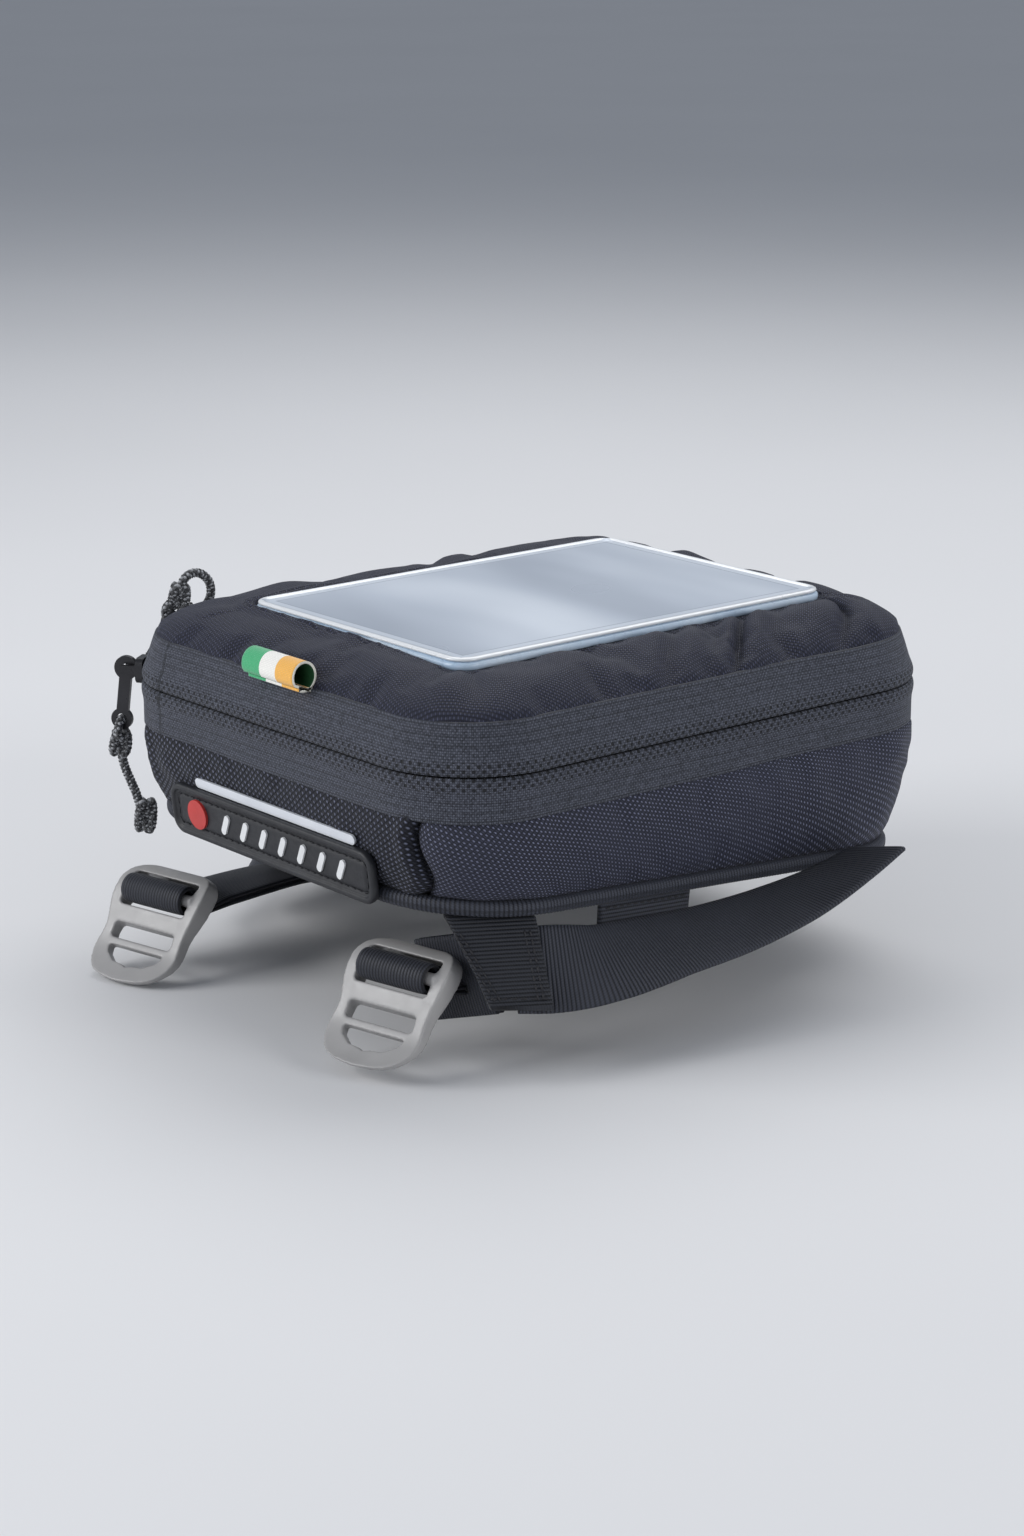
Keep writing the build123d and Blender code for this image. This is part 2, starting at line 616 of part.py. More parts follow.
pulls = {
    "front": (front_seat, outward, along, along, front_pivot, front_hang, TAB_LENGTH,
              front_eye, front_knot, front_route, front_end_knot),
    "rear": (rear_seat, rear_outward, rear_along, rear_eye_axis, rear_pivot, rear_hang,
             TAB_REAR_LENGTH, rear_eye, rear_knot, rear_route, rear_end_knot),
}
for end, (seat, out, run, hole, pivot, hang, reach, eye, lump, route, last) in pulls.items():
    with BuildPart() as slider:
        add(slider_body(seat, out, run))
    save(slider.part, f"slider_{end}")
    with BuildPart() as tab:
        add(pull_tab(pivot, hole, hang, reach))
    save(tab.part, f"pull_tab_{end}")
    with BuildPart() as ring:
        add(cord_loop(eye, hole, hang, LOOP_RADIUS))
    save(ring.part, f"cord_loop_{end}")
    with BuildPart() as first_knot:
        add(knot(tuple(lump), 4.0, 4.6))
    save(first_knot.part, f"knot_{end}")
    with BuildPart() as cord:
        add(free_cord(route))
    save(cord.part, f"pull_cord_{end}")
    with BuildPart() as last_knot:
        add(knot(last, 4.0, 5.8 if end == "front" else 4.6))
    save(last_knot.part, f"end_knot_{end}")
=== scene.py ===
import math
import bpy
import numpy as np
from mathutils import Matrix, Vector


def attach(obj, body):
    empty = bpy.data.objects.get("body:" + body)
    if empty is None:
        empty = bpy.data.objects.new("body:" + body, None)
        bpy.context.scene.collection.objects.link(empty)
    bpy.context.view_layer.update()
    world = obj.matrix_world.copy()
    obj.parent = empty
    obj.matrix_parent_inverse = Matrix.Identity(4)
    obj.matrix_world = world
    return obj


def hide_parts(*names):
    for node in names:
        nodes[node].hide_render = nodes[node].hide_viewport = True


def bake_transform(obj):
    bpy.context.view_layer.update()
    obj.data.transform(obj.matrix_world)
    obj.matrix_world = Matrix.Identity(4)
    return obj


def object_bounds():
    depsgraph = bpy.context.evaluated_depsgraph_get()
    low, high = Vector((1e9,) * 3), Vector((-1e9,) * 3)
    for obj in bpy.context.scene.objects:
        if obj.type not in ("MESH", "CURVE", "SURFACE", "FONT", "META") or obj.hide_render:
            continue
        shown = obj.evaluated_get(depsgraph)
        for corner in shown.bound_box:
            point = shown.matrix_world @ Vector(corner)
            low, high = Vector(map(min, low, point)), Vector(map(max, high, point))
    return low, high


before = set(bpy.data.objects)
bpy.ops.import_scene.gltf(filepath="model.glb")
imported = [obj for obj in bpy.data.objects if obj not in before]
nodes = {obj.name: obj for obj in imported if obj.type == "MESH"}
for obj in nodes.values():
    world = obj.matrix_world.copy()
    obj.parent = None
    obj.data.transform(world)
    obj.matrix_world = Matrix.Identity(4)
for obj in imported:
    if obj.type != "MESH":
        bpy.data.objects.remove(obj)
cad_box = [list(corner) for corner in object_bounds()]
MM = 0.001

# ------------------------------------------------------------------ camera, floor and light
CAMERA_PLACE = (0.74525, -0.63184, 0.29756)
CAMERA_DEGREES = (74.11, 0.0, 50.0)
CAMERA_LENS = 77.02
FLOOR_SIZE = 6.0
FLOOR_GAP = 0.0006
SKY = (0.76, 0.83, 0.95)
SKY_STRENGTH = 0.34
# place, aim, width, height (m) and power (W)
LIGHTS = {
    "sky_panel": ((-0.35, 0.75, 1.15), (0, 0.02, 0.05), 1.6, 1.0, 11.0),
    "left_panel": ((-0.55, -1.05, 0.60), (0, -0.05, 0.03), 0.8, 0.6, 10.0),
    "right_panel": ((1.2, 0.35, 0.45), (0.05, 0, 0.03), 0.7, 0.5, 5.4),
    "front_panel": ((0.55, -1.1, 0.25), (0.0, -0.1, 0.0), 0.5, 0.4, 1.6),
}


def add_object(name, data):
    made = bpy.data.objects.new(name, data)
    bpy.context.scene.collection.objects.link(made)
    return made


def make_camera():
    data = bpy.data.cameras.new("camera")
    data.lens = CAMERA_LENS
    data.sensor_width = 36.0
    data.clip_start = 0.05
    camera = add_object("camera", data)
    camera.location = CAMERA_PLACE
    camera.rotation_euler = [math.radians(turn) for turn in CAMERA_DEGREES]
    bpy.context.scene.camera = camera


def make_lights():
    for name, (place, aim, width, height, power) in LIGHTS.items():
        data = bpy.data.lights.new(name, "AREA")
        data.shape = "RECTANGLE"
        data.size = width
        data.size_y = height
        data.energy = power
        light = add_object(name, data)
        light.location = place
        light.rotation_euler = (Vector(aim) - Vector(place)).to_track_quat("-Z", "Y").to_euler()


def make_world():
    world = bpy.data.worlds.new("studio")
    world.use_nodes = True
    background = world.node_tree.nodes["Background"]
    background.inputs["Color"].default_value = (*SKY, 1)
    background.inputs["Strength"].default_value = SKY_STRENGTH
    bpy.context.scene.world = world
    bpy.context.scene.view_settings.view_transform = "Standard"


def make_floor():
    size = FLOOR_SIZE
    mesh = bpy.data.meshes.new("floor")
    corners = [(-size, -size, 0), (size, -size, 0), (size, size, 0), (-size, size, 0)]
    mesh.from_pydata(corners, [], [(0, 1, 2, 3)])
    g = Graph("floor_mat")
    g.set(Base_Color=g.mix(g.noise(3.0, 2.0), (0.72, 0.72, 0.73), (0.76, 0.76, 0.77)), Roughness=0.75)
    mesh.materials.append(g.material)
    floor = add_object("floor", mesh)
    floor.location = (0, 0, cad_box[0][2] - FLOOR_GAP)


# ------------------------------------------------------------------ node materials
class Value:
    """A shader value: each step of its arithmetic makes a Math node."""

    def __init__(self, graph, socket):
        self.graph = graph
        self.socket = socket

    def step(self, operation, other=0.0, swapped=False):
        made = self.graph.node("ShaderNodeMath", operation=operation)
        self.graph.link(other if swapped else self, made.inputs[0])
        self.graph.link(self if swapped else other, made.inputs[1])
        return Value(self.graph, made.outputs[0])

    def __add__(self, other):
        return self.step("ADD", other)

    def __sub__(self, other):
        return self.step("SUBTRACT", other)

    def __rsub__(self, other):
        return self.step("SUBTRACT", other, swapped=True)

    def __mul__(self, other):
        return self.step("MULTIPLY", other)

    def __pow__(self, other):
        return self.step("POWER", other)

    def __mod__(self, other):
        return self.step("FLOORED_MODULO", other)

    def __lt__(self, other):
        return self.step("LESS_THAN", other)

    def __gt__(self, other):
        return self.step("GREATER_THAN", other)

    def __abs__(self):
        return self.step("ABSOLUTE")

    def floor(self):
        return self.step("FLOOR")

    def arch(self, pitch):
        """One rounded bump for every pitch of the value."""
        return abs((self * (math.pi / pitch)).step("SINE"))

    def wave(self, pitch):
        return (self * (2 * math.pi / pitch)).step("SINE")

    def span(self, low, high, to_low=0.0, to_high=1.0):
        """Maps low to high onto to_low to to_high, and clamps."""
        made = self.graph.node("ShaderNodeMapRange")
        for socket, value in zip(made.inputs, (self, low, high, to_low, to_high)):
            self.graph.link(value, socket)
        return Value(self.graph, made.outputs["Result"])

    def ramp(self, stops, interpolation="LINEAR"):
        made = self.graph.node("ShaderNodeValToRGB")
        band = made.color_ramp
        band.interpolation = interpolation
        while len(band.elements) < len(stops):
            band.elements.new(0.5)
        for element, (at, colour) in zip(band.elements, stops):
            element.position = at
            element.color = (*colour, 1)
        self.graph.link(self, made.inputs["Fac"])
        return Value(self.graph, made.outputs["Color"])


class Graph:
    """A material under construction."""

    def __init__(self, name):
        self.material = bpy.data.materials.new(name)
        self.material.use_nodes = True
        self.tree = self.material.node_tree
        self.shader = self.tree.nodes["Principled BSDF"]

    def node(self, kind, **settings):
        made = self.tree.nodes.new(kind)
        for key, value in settings.items():
            setattr(made, key, value)
        return made

    def link(self, value, socket):
        if isinstance(value, Value):
            self.tree.links.new(value.socket, socket)
        elif socket.type == "RGBA":
            socket.default_value = (*value, 1)
        else:
            socket.default_value = value

    def place(self):
        return Value(self, self.node("ShaderNodeTexCoord").outputs["Object"])

    def noise(self, scale, detail=3.0, vector=None, roughness=0.5):
        made = self.node("ShaderNodeTexNoise")
        made.inputs["Scale"].default_value = scale
        made.inputs["Detail"].default_value = detail
        made.inputs["Roughness"].default_value = roughness
        self.link(vector or self.place(), made.inputs["Vector"])
        return Value(self, made.outputs["Fac"])

    def cloth(self):
        """Distances along and up the cloth, in metres, from the piece's own map."""
        split = self.node("ShaderNodeSeparateXYZ")
        cloth_map = self.node("ShaderNodeUVMap", uv_map="cloth").outputs["UV"]
        self.link(Value(self, cloth_map), split.inputs[0])
        return Value(self, split.outputs["X"]), Value(self, split.outputs["Y"])

    def mix(self, factor, first, second):
        made = self.node("ShaderNodeMix", data_type="RGBA")
        self.link(factor, made.inputs[0])
        self.link(first, made.inputs[6])
        self.link(second, made.inputs[7])
        return Value(self, made.outputs[2])

    def bump(self, height, distance, strength=0.9):
        made = self.node("ShaderNodeBump")
        made.inputs["Distance"].default_value = distance
        made.inputs["Strength"].default_value = strength
        self.link(height, made.inputs["Height"])
        self.link(Value(self, made.outputs["Normal"]), self.shader.inputs["Normal"])

    def set(self, **values):
        for key, value in values.items():
            self.link(value, self.shader.inputs[key.replace("_", " ")])


def times(colour, factor):
    """A colour made darker or brighter."""
    return [min(1, channel * factor) for channel in colour]


def weave(u, v, pitch, aspect=1.0, sink=0.62):
    """Height of a plain weave; the threads that pass under are lower by the share sink."""
    a = u * (1.0 / pitch)
    b = v * (1.0 / (pitch * aspect))
    warp = a.arch(1.0)
    weft = b.arch(1.0)
    mask = (a.floor() + b.floor()) % 2.0
    over = warp ** 0.6 * weft ** 0.9
    under = weft ** 0.6 * warp ** 0.9
    return over * mask + under * (1.0 - mask) * sink


def woven(name, pitch, dark, light, depth=0.35, aspect=1.0, turned=False, sink=0.62):
    """Nylon cloth with slight colour variation and sheen; the raised threads carry a painted highlight and
    the low threads painted shade; turned makes it a twill.
    """
    g = Graph(name)
    u, v = g.cloth()
    if turned:
        u, v = u + v, u - v
    height = weave(u, v, pitch, aspect, sink)
    cloudy = g.noise(38.0, 4.0)
    # painted light: the weave's height sets the colour, so low threads get painted shade and raised threads a
    # painted highlight
    shade = height * 0.75 + g.noise(900.0, 2.0) * 0.25
    colour = shade.ramp([(0.12, times(dark, 0.35)), (0.5, dark), (0.95, light)])
    tint = g.mix(cloudy.span(0.35, 0.7, 0.0, 0.35), colour, times(dark, 1.25))
    g.set(Base_Color=tint, Roughness=(height + cloudy).span(0.3, 1.5, 0.72, 0.52))
    g.set(Specular_IOR_Level=0.28, Sheen_Weight=0.06, Sheen_Roughness=0.4)
    g.bump(height, pitch * depth)
    return g.material


def knit_tape(name, dark, light):
    """Zip tape: speckled knit with punched dots beside the coil and lines further out; low threads, dots and
    lines are darkened as painted shade.
    """
    g = Graph(name)
    u, v = g.cloth()
    height = weave(u, v, 0.66 * MM, 1.1, 0.5)
    speckle = g.noise(1000.0, 4.0, roughness=0.7)
    rows = v.wave(2.6 * MM)
    dots = (u.wave(2.8 * MM) * rows).span(0.3, 0.5) * (abs(v) < 4.3 * MM)
    lines = rows.span(0.82, 0.95) * (abs(v) > 6.0 * MM)
    shade = height * 0.42 + speckle * 0.92
    colour = shade.ramp([(0.38, times(dark, 0.35)), (0.58, dark), (0.85, light)])
    # painted shade: the punched dots and the lines are darkened in their dips
    colour = g.mix(dots * 0.9, colour, times(dark, 0.15))
    colour = g.mix(lines * 0.38, colour, times(dark, 0.3))
    g.set(Base_Color=colour, Roughness=speckle.span(0.3, 0.7, 0.62, 0.8))
    g.set(Specular_IOR_Level=0.25, Sheen_Weight=0.08, Sheen_Roughness=0.5)
    g.bump(height - dots * 1.4 - lines * 0.5, 0.25 * MM)
    return g.material


def ribbed(name, pitch, dark, light, along=True, depth=0.28):
    """Webbing or binding: ribs across its length, split into small herringbone stitches, with a painted
    highlight on the ribs and painted shade between them.
    """
    g = Graph(name)
    u, v = g.cloth()
    if not along:
        u, v = v, u
    height = v.arch(pitch) ** 0.7 * 0.8 + (u + v * 0.5).arch(0.75 * MM) * 0.2
    cloudy = g.noise(60.0)
    # painted light: rib tops get a painted highlight and the hollows between ribs painted shade
    colour = height.ramp([(0.1, times(dark, 0.25)), (0.5, dark), (0.97, light)])
    colour = g.mix(cloudy.span(0.4, 0.75, 0.0, 0.3), colour, light)
    g.set(Base_Color=colour, Roughness=cloudy.span(0.3, 0.7, 0.49, 0.63))
    g.set(Specular_IOR_Level=0.3, Sheen_Weight=0.06, Sheen_Roughness=0.4)
    g.bump(height, pitch * depth)
    return g.material


def moulded(name, base, grain, roughness, depth, variation=0.25, metallic=0.0):
    """Moulded rubber, plastic or painted metal: fine grain, cloudy colour and rubbed gloss."""
    g = Graph(name)
    fine = g.noise(grain)
    cloudy = g.noise(70.0, 4.0)
    rubbed = g.noise(260.0, 5.0)
    colour = g.mix(cloudy.span(0.3, 0.75), times(base, 1 - variation), times(base, 1 + variation))
    g.set(Base_Color=colour, Metallic=metallic, Specular_IOR_Level=0.5)
    g.set(Roughness=(rubbed + fine).span(0.7, 1.3, roughness - 0.08, roughness + 0.1))
    g.bump(fine + rubbed * 0.6, depth * MM, 0.8)
    return g.material


def braided(name, dark, light):
    """Paracord: a braid of dark and pale strands, counted by the piece's map; the gaps between strands are
    darkened as painted shade.
    """
    g = Graph(name)
    u, v = g.cloth()
    a = u + v
    b = u - v
    height = a.arch(1.0) * b.arch(1.0)
    pale = (a.floor() + b.floor() * 2.0) % 4.0 < 1.5
    fuzz = g.noise(1500.0, 2.0)
    # painted shade: the low places between strands are darkened
    colour = g.mix(height.span(0.05, 0.5), times(dark, 0.35), g.mix(pale, dark, light))
    colour = g.mix(fuzz.span(0.4, 0.8, 0.0, 0.35), colour, light)
    g.set(Base_Color=colour, Roughness=fuzz.span(0.3, 0.7, 0.5, 0.72))
    g.set(Specular_IOR_Level=0.4, Sheen_Weight=0.2)
    g.bump(height, 0.25 * MM, 1.0)
    return g.material


def film_material():
    """Clear film over a silvery sheet: pale welted edge, groove, thin line and a cloudy tone that is a
    painted reflection; the groove is darkened as painted shade.
    """
    g = Graph("window_film_mat")
    u, v = g.cloth()
    across = WINDOW[0] / 2 * MM - abs(u)
    along = WINDOW[1] / 2 * MM - abs(v)
    inset = across.step("MINIMUM", along)
    stretched = g.node("ShaderNodeCombineXYZ")
    g.link((u + v * 0.6) * 0.45, stretched.inputs[0])
    g.link(v * 1.5, stretched.inputs[1])
    # painted reflection: streaked noise lays soft light and dark bands over the film's colour
    cloudy = g.noise(13.0, 2.0, Value(g, stretched.outputs[0]), 0.4)
    painted_reflection_tone = cloudy.ramp([(0.3, (0.36, 0.41, 0.49)), (0.5, (0.55, 0.61, 0.70)), (0.72, (0.80, 0.86, 0.94))])
    border = inset.span(5.6 * MM, 5.9 * MM, 1.0, 0.0)
    painted_reflection_tone = g.mix(border * 0.7, painted_reflection_tone, (0.70, 0.76, 0.84))
    line = inset.span(5.5 * MM, 5.7 * MM) * inset.span(5.9 * MM, 6.2 * MM, 1.0, 0.0)
    painted_reflection_tone = g.mix(line * 0.7, painted_reflection_tone, (0.22, 0.26, 0.33))
    colour = g.mix(inset.span(2.3 * MM, 2.7 * MM, 1.0, 0.0), painted_reflection_tone, (0.84, 0.86, 0.88))
    # painted shade: the groove beside the welted edge is darkened
    groove = inset.span(2.3 * MM, 2.6 * MM) * inset.span(2.8 * MM, 3.6 * MM, 1.0, 0.0)
    colour = g.mix(groove * 0.5, colour, (0.30, 0.34, 0.40))
    g.set(Base_Color=colour, Roughness=g.noise(25.0, 1.0).span(0.3, 0.7, 0.27, 0.31), Metallic=0.1)
    g.set(Specular_IOR_Level=0.5, Coat_Weight=0.3, Coat_Roughness=0.22)
    g.bump(cloudy, 0.5 * MM, 0.4)
    return g.material


def rim_material():
    """Pale blue plastic edge, slightly uneven from trimming."""
    g = Graph("window_rim_mat")
    fine = g.noise(500.0)
    colour = g.mix(g.noise(45.0).span(0.3, 0.7), (0.42, 0.56, 0.72), (0.66, 0.76, 0.86))
    g.set(Base_Color=colour, Roughness=fine.span(0.3, 0.7, 0.22, 0.4))
    g.set(Specular_IOR_Level=0.5, Coat_Weight=0.3, Coat_Roughness=0.1)
    g.bump(fine, 0.05 * MM, 0.6)
    return g.material


RIBBON_WIDTH = 24.5
RIBBON_BANDS = [(0.0, (0.03, 0.43, 0.17)), (0.345, (0.95, 0.93, 0.88)), (0.66, (0.95, 0.48, 0.07))]


def ribbon_material():
    """Striped ribbon: the colour changes along the tube, on a fine weave whose low threads are darkened as
    painted shade.
    """
    g = Graph("ribbon_cloth")
    u, v = g.cloth()
    stripes = u.ramp(RIBBON_BANDS, "CONSTANT")
    height = weave(u * (RIBBON_WIDTH * MM), v, 0.7 * MM, 0.6)
    fuzz = g.noise(1400.0, 2.0)
    # painted shade: the low threads of the weave are darkened
    colour = g.mix(height.span(0.0, 0.6, 0.22, 0.0), stripes, (0.05, 0.06, 0.03))
    g.set(Base_Color=colour, Roughness=fuzz.span(0.3, 0.7, 0.5, 0.7), Sheen_Weight=0.3)
    g.bump(height, 0.12 * MM, 0.8)
    return g.material


def reflective_material():
    """Silver reflective tape: fine glass-bead grain."""
    g = Graph("reflective_mat")
    cells = g.node("ShaderNodeTexVoronoi")
    cells.inputs["Scale"].default_value = 1800.0
    g.link(g.place(), cells.inputs["Vector"])
    beads = Value(g, cells.outputs["Distance"])
    g.set(Base_Color=g.mix(g.noise(80.0), (0.62, 0.65, 0.70), (0.82, 0.84, 0.88)), Metallic=0.35)
    g.set(Roughness=beads.span(0.0, 0.6, 0.25, 0.45), Specular_IOR_Level=0.6)
    g.bump(beads, 0.05 * MM, 0.5)
    return g.material


def make_materials():
    return {
        # the second colour given to each woven and ribbed cloth is the painted highlight on its raised
        # threads
        "wall": woven("wall_cloth", 1.3 * MM, (0.010, 0.0115, 0.020), (0.175, 0.190, 0.275),
                      depth=0.4, aspect=1.8, turned=True, sink=0.5),
        # painted light: the side panels wear a lighter copy of the wall cloth, brightened for how the sides
        # are lit
        "side": woven("wall_cloth_lit_copy_for_sides", 1.0 * MM, (0.028, 0.031, 0.052), (0.225, 0.240, 0.355),
                      depth=0.36, aspect=1.9, turned=True, sink=0.5),
        "lid": woven("lid_cloth", 0.8 * MM, (0.0125, 0.0145, 0.030), (0.080, 0.088, 0.158),
                     aspect=1.8, turned=True),
        "lining": woven("lining_cloth", 0.55 * MM, (0.045, 0.048, 0.056), (0.11, 0.115, 0.13)),
        "tape": knit_tape("zip_tape_cloth", (0.042, 0.0465, 0.063), (0.112, 0.121, 0.154)),
        "binding": ribbed("binding_cloth", 1.25 * MM, (0.011, 0.012, 0.018), (0.052, 0.057, 0.076),
                          along=False),
        "webbing": ribbed("webbing_cloth", 1.15 * MM, (0.010, 0.011, 0.016), (0.046, 0.050, 0.066)),
        # painted shade: the anchors wear a darker copy of the webbing cloth, for the shade under the base's
        # edge
        "anchor": ribbed("webbing_cloth_shaded_copy_for_anchors", 1.15 * MM, (0.006, 0.0066, 0.0095), (0.027, 0.0295, 0.038)),
        "webbing_long": ribbed("webbing_long_cloth", 1.1 * MM, (0.007, 0.0076, 0.011), (0.036, 0.039, 0.051),
                               along=False, depth=0.2),
        "thread": moulded("sewing_thread", (0.012, 0.012, 0.016), 2500.0, 0.6, 0.05),
        "rubber": moulded("patch_rubber_mat", (0.013, 0.014, 0.018), 900.0, 0.5, 0.03),
        "grip": moulded("grip_rubber_mat", (0.02, 0.02, 0.021), 600.0, 0.7, 0.12),
        "board": moulded("board_plastic_mat", (0.03, 0.031, 0.034), 800.0, 0.5, 0.06),
        "buckle": moulded("buckle_plastic_mat", (0.345, 0.338, 0.335), 2200.0, 0.36, 0.02,
                          variation=0.08),
        "metal": moulded("slider_metal_mat", (0.03, 0.03, 0.034), 1200.0, 0.34, 0.03, metallic=0.55),
        "coil": moulded("zip_coil_mat", (0.012, 0.012, 0.014), 2000.0, 0.4, 0.05),
        "red": moulded("emblem_red_mat", (0.50, 0.035, 0.03), 1500.0, 0.4, 0.03, variation=0.15),
        "white": moulded("print_white_mat", (0.72, 0.73, 0.74), 1500.0, 0.45, 0.03, variation=0.06),
        "cord": braided("paracord_braid", (0.016, 0.016, 0.020), (0.34, 0.35, 0.37)),
        "film": film_material(),
        "rim": rim_material(),
        "ribbon": ribbon_material(),
        # painted shade: the inside of the ribbon's loop is a dark green
        "ribbon_inside": moulded("ribbon_cloth_painted_shade_inside", (0.015, 0.085, 0.028), 1400.0, 0.7, 0.08),
        "ribbon_edge": moulded("ribbon_edge_cloth", (0.78, 0.76, 0.68), 1400.0, 0.7, 0.08),
        "reflective": reflective_material(),
    }


# the look slot of every material that has one
SLOTS = {"wall": "wall_fabric", "side": "wall_fabric", "lid": "lid_fabric", "lining": "lining_fabric",
         "tape": "zip_tape", "coil": "zip_coil", "binding": "binding_fabric", "webbing": "webbing",
         "webbing_long": "webbing", "anchor": "webbing", "rubber": "patch_rubber", "grip": "grip_rubber",
         "board": "board_plastic", "cord": "paracord", "film": "window_film", "rim": "window_rim",
         "ribbon": "ribbon"}


# ------------------------------------------------------------------ mesh building
def add_mesh(name, points, faces, maps, material, body, node=None):
    """A mesh with its cloth map in metres; it rides on body and stands for the CAD node."""
    mesh = bpy.data.meshes.new(name)
    points = np.asarray(points, float).reshape(-1, 3)
    mesh.from_pydata(points.tolist(), [], faces)
    layer = mesh.uv_layers.new(name="cloth")
    maps = np.asarray(maps, float).reshape(-1, 2)
    corners = np.empty(len(mesh.loops), np.int32)
    mesh.loops.foreach_get("vertex_index", corners)
    layer.data.foreach_set("uv", maps[corners].astype(np.float32).ravel())
    mesh.polygons.foreach_set("use_smooth", [True] * len(mesh.polygons))
    mesh.materials.append(materials[material])
    mesh.update()
    piece = add_object(name, mesh)
    if body:
        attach(piece, body)
    material in SLOTS
    if node:
        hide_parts(node)
    return piece


def unit(vectors):
    """Vectors along the last axis, brought to length 1."""
    vectors = np.asarray(vectors, float)
    return vectors / np.maximum(np.linalg.norm(vectors, axis=-1, keepdims=True), 1e-12)


def joined(*parts):
    """Arrays of coordinates joined into one array of points or map places."""
    return np.stack(np.broadcast_arrays(*parts), axis=-1)


def marks_along(line):
    """Distance of every point of a line from its first point."""
    return np.concatenate([[0], np.cumsum(np.linalg.norm(np.diff(line, axis=0), axis=1))])


def interpolate(at, marks, line):
    return joined(*(np.interp(at, marks, line[:, k]) for k in range(3)))


def lattice_faces(rows, columns, start=0, wrap_rows=False, wrap_columns=False):
    """Quads over a grid of rows by columns, numbered row by row."""
    faces = []
    for r in range(rows if wrap_rows else rows - 1):
        for c in range(columns if wrap_columns else columns - 1):
            below = (r + 1) % rows
            beside = (c + 1) % columns
            faces.append((start + r * columns + c, start + r * columns + beside,
                          start + below * columns + beside, start + below * columns + c))
    return faces


def tube_faces(rings, sides, start=0, flipped=False):
    """Quads along a closed tube whose rings are the grid's rows, with a cap at each end."""
    first = list(range(start, start + sides))
    last = [k + (rings - 1) * sides for k in first]
    caps = [first, last[::-1]] if flipped else [first[::-1], last]
    return lattice_faces(rings, sides, start, wrap_columns=True) + caps


def end_faces(rows, columns):
    """The two end caps of a tube whose rings are the grid's columns."""
    return [[r * columns for r in range(rows)], [r * columns + columns - 1 for r in reversed(range(rows))]]


def grid_normals(points, wrap):
    """Unit normals of a grid of points (rows, columns, 3); columns may close on themselves."""
    if wrap:
        along = np.roll(points, -1, 1) - np.roll(points, 1, 1)
    else:
        along = np.gradient(points, axis=1)
    return unit(np.cross(along, np.gradient(points, axis=0)))


def slab(name, points, maps, thickness, material, body, node=None, wrap=False):
    """A sheet of cloth of real thickness with rounded edges, from its outer surface.
    points is (rows, columns, 3) in metres and the outer side is where along x up points."""
    normal = grid_normals(points, wrap)
    inner = points - normal * thickness
    top_edge = points[-1] - normal[-1] * thickness / 2 + unit(points[-1] - points[-2]) * thickness * 0.35
    low_edge = points[0] - normal[0] * thickness / 2 - unit(points[1] - points[0]) * thickness * 0.35
    rings = np.array([low_edge, *points, top_edge, *inner[::-1]])
    uv = np.concatenate([maps[:1], maps, maps[-1:], maps[::-1]], axis=0)
    faces = lattice_faces(len(rings), points.shape[1], wrap_rows=True, wrap_columns=wrap)
    if not wrap:
        faces += end_faces(len(rings), points.shape[1])
    return add_mesh(name, rings, faces, uv, material, body, node)


def waves(u, v, seed, low, high, count=14):
    """A smooth random ripple of unit size; wavelengths lie between low and high."""
    draw = np.random.default_rng(seed)
    total = np.zeros(np.broadcast(u, v).shape)
    for _ in range(count):
        length = draw.uniform(low, high)
        angle = draw.uniform(0, 2 * math.pi)
        phase = draw.uniform(0, 2 * math.pi)
        total = total + np.cos(2 * math.pi * (u * math.cos(angle) + v * math.sin(angle)) / length + phase)
    return total / math.sqrt(count / 2)


def bell(x, centre, width):
    """A smooth bump of unit height."""
    return np.exp(-((x - centre) / width) ** 2)


# ------------------------------------------------------------------ cloth simulation
# the sheets are settled at this many times their size, where Blender's cloth is steady
SIM_SCALE = 20.0
SIM_FRAMES = 18
STUFFING = 1.5


def resample(values, rows, columns, wrap):
    """Bilinear samples of a grid at fractional row and column numbers."""
    high = values.shape[1]
    r0 = np.clip(np.floor(rows).astype(int), 0, values.shape[0] - 2)
    c0 = np.floor(columns).astype(int)
    if not wrap:
        c0 = np.clip(c0, 0, high - 2)
    fr = (rows - r0)[:, None, None]
    fc = (columns - c0)[None, :, None]
    c1 = (c0 + 1) % high
    c0 = c0 % high
    upper, lower = values[r0 + 1], values[r0]
    return ((lower[:, c0] * (1 - fc) + lower[:, c1] * fc) * (1 - fr)
            + (upper[:, c0] * (1 - fc) + upper[:, c1] * fc) * fr)


def add_cloth(sheet, held, slack):
    """Cloth physics on a sheet whose held vertices stay where they are."""
    sheet.vertex_groups.new(name="held").add([int(k) for k in held], 1.0, "REPLACE")
    cloth = sheet.modifiers.new("cloth", "CLOTH")
    settings = cloth.settings
    settings.vertex_group_mass = "held"
    settings.quality = 6
    settings.mass = 0.3
    settings.tension_stiffness = 20
    settings.compression_stiffness = 20
    settings.shear_stiffness = 8
    settings.bending_stiffness = 0.6
    settings.shrink_min = -slack
    settings.use_pressure = True
    settings.uniform_pressure_force = STUFFING
    settings.effector_weights.gravity = 0.0
    cloth.collision_settings.use_collision = False
    cloth.point_cache.frame_start = 1
    cloth.point_cache.frame_end = SIM_FRAMES


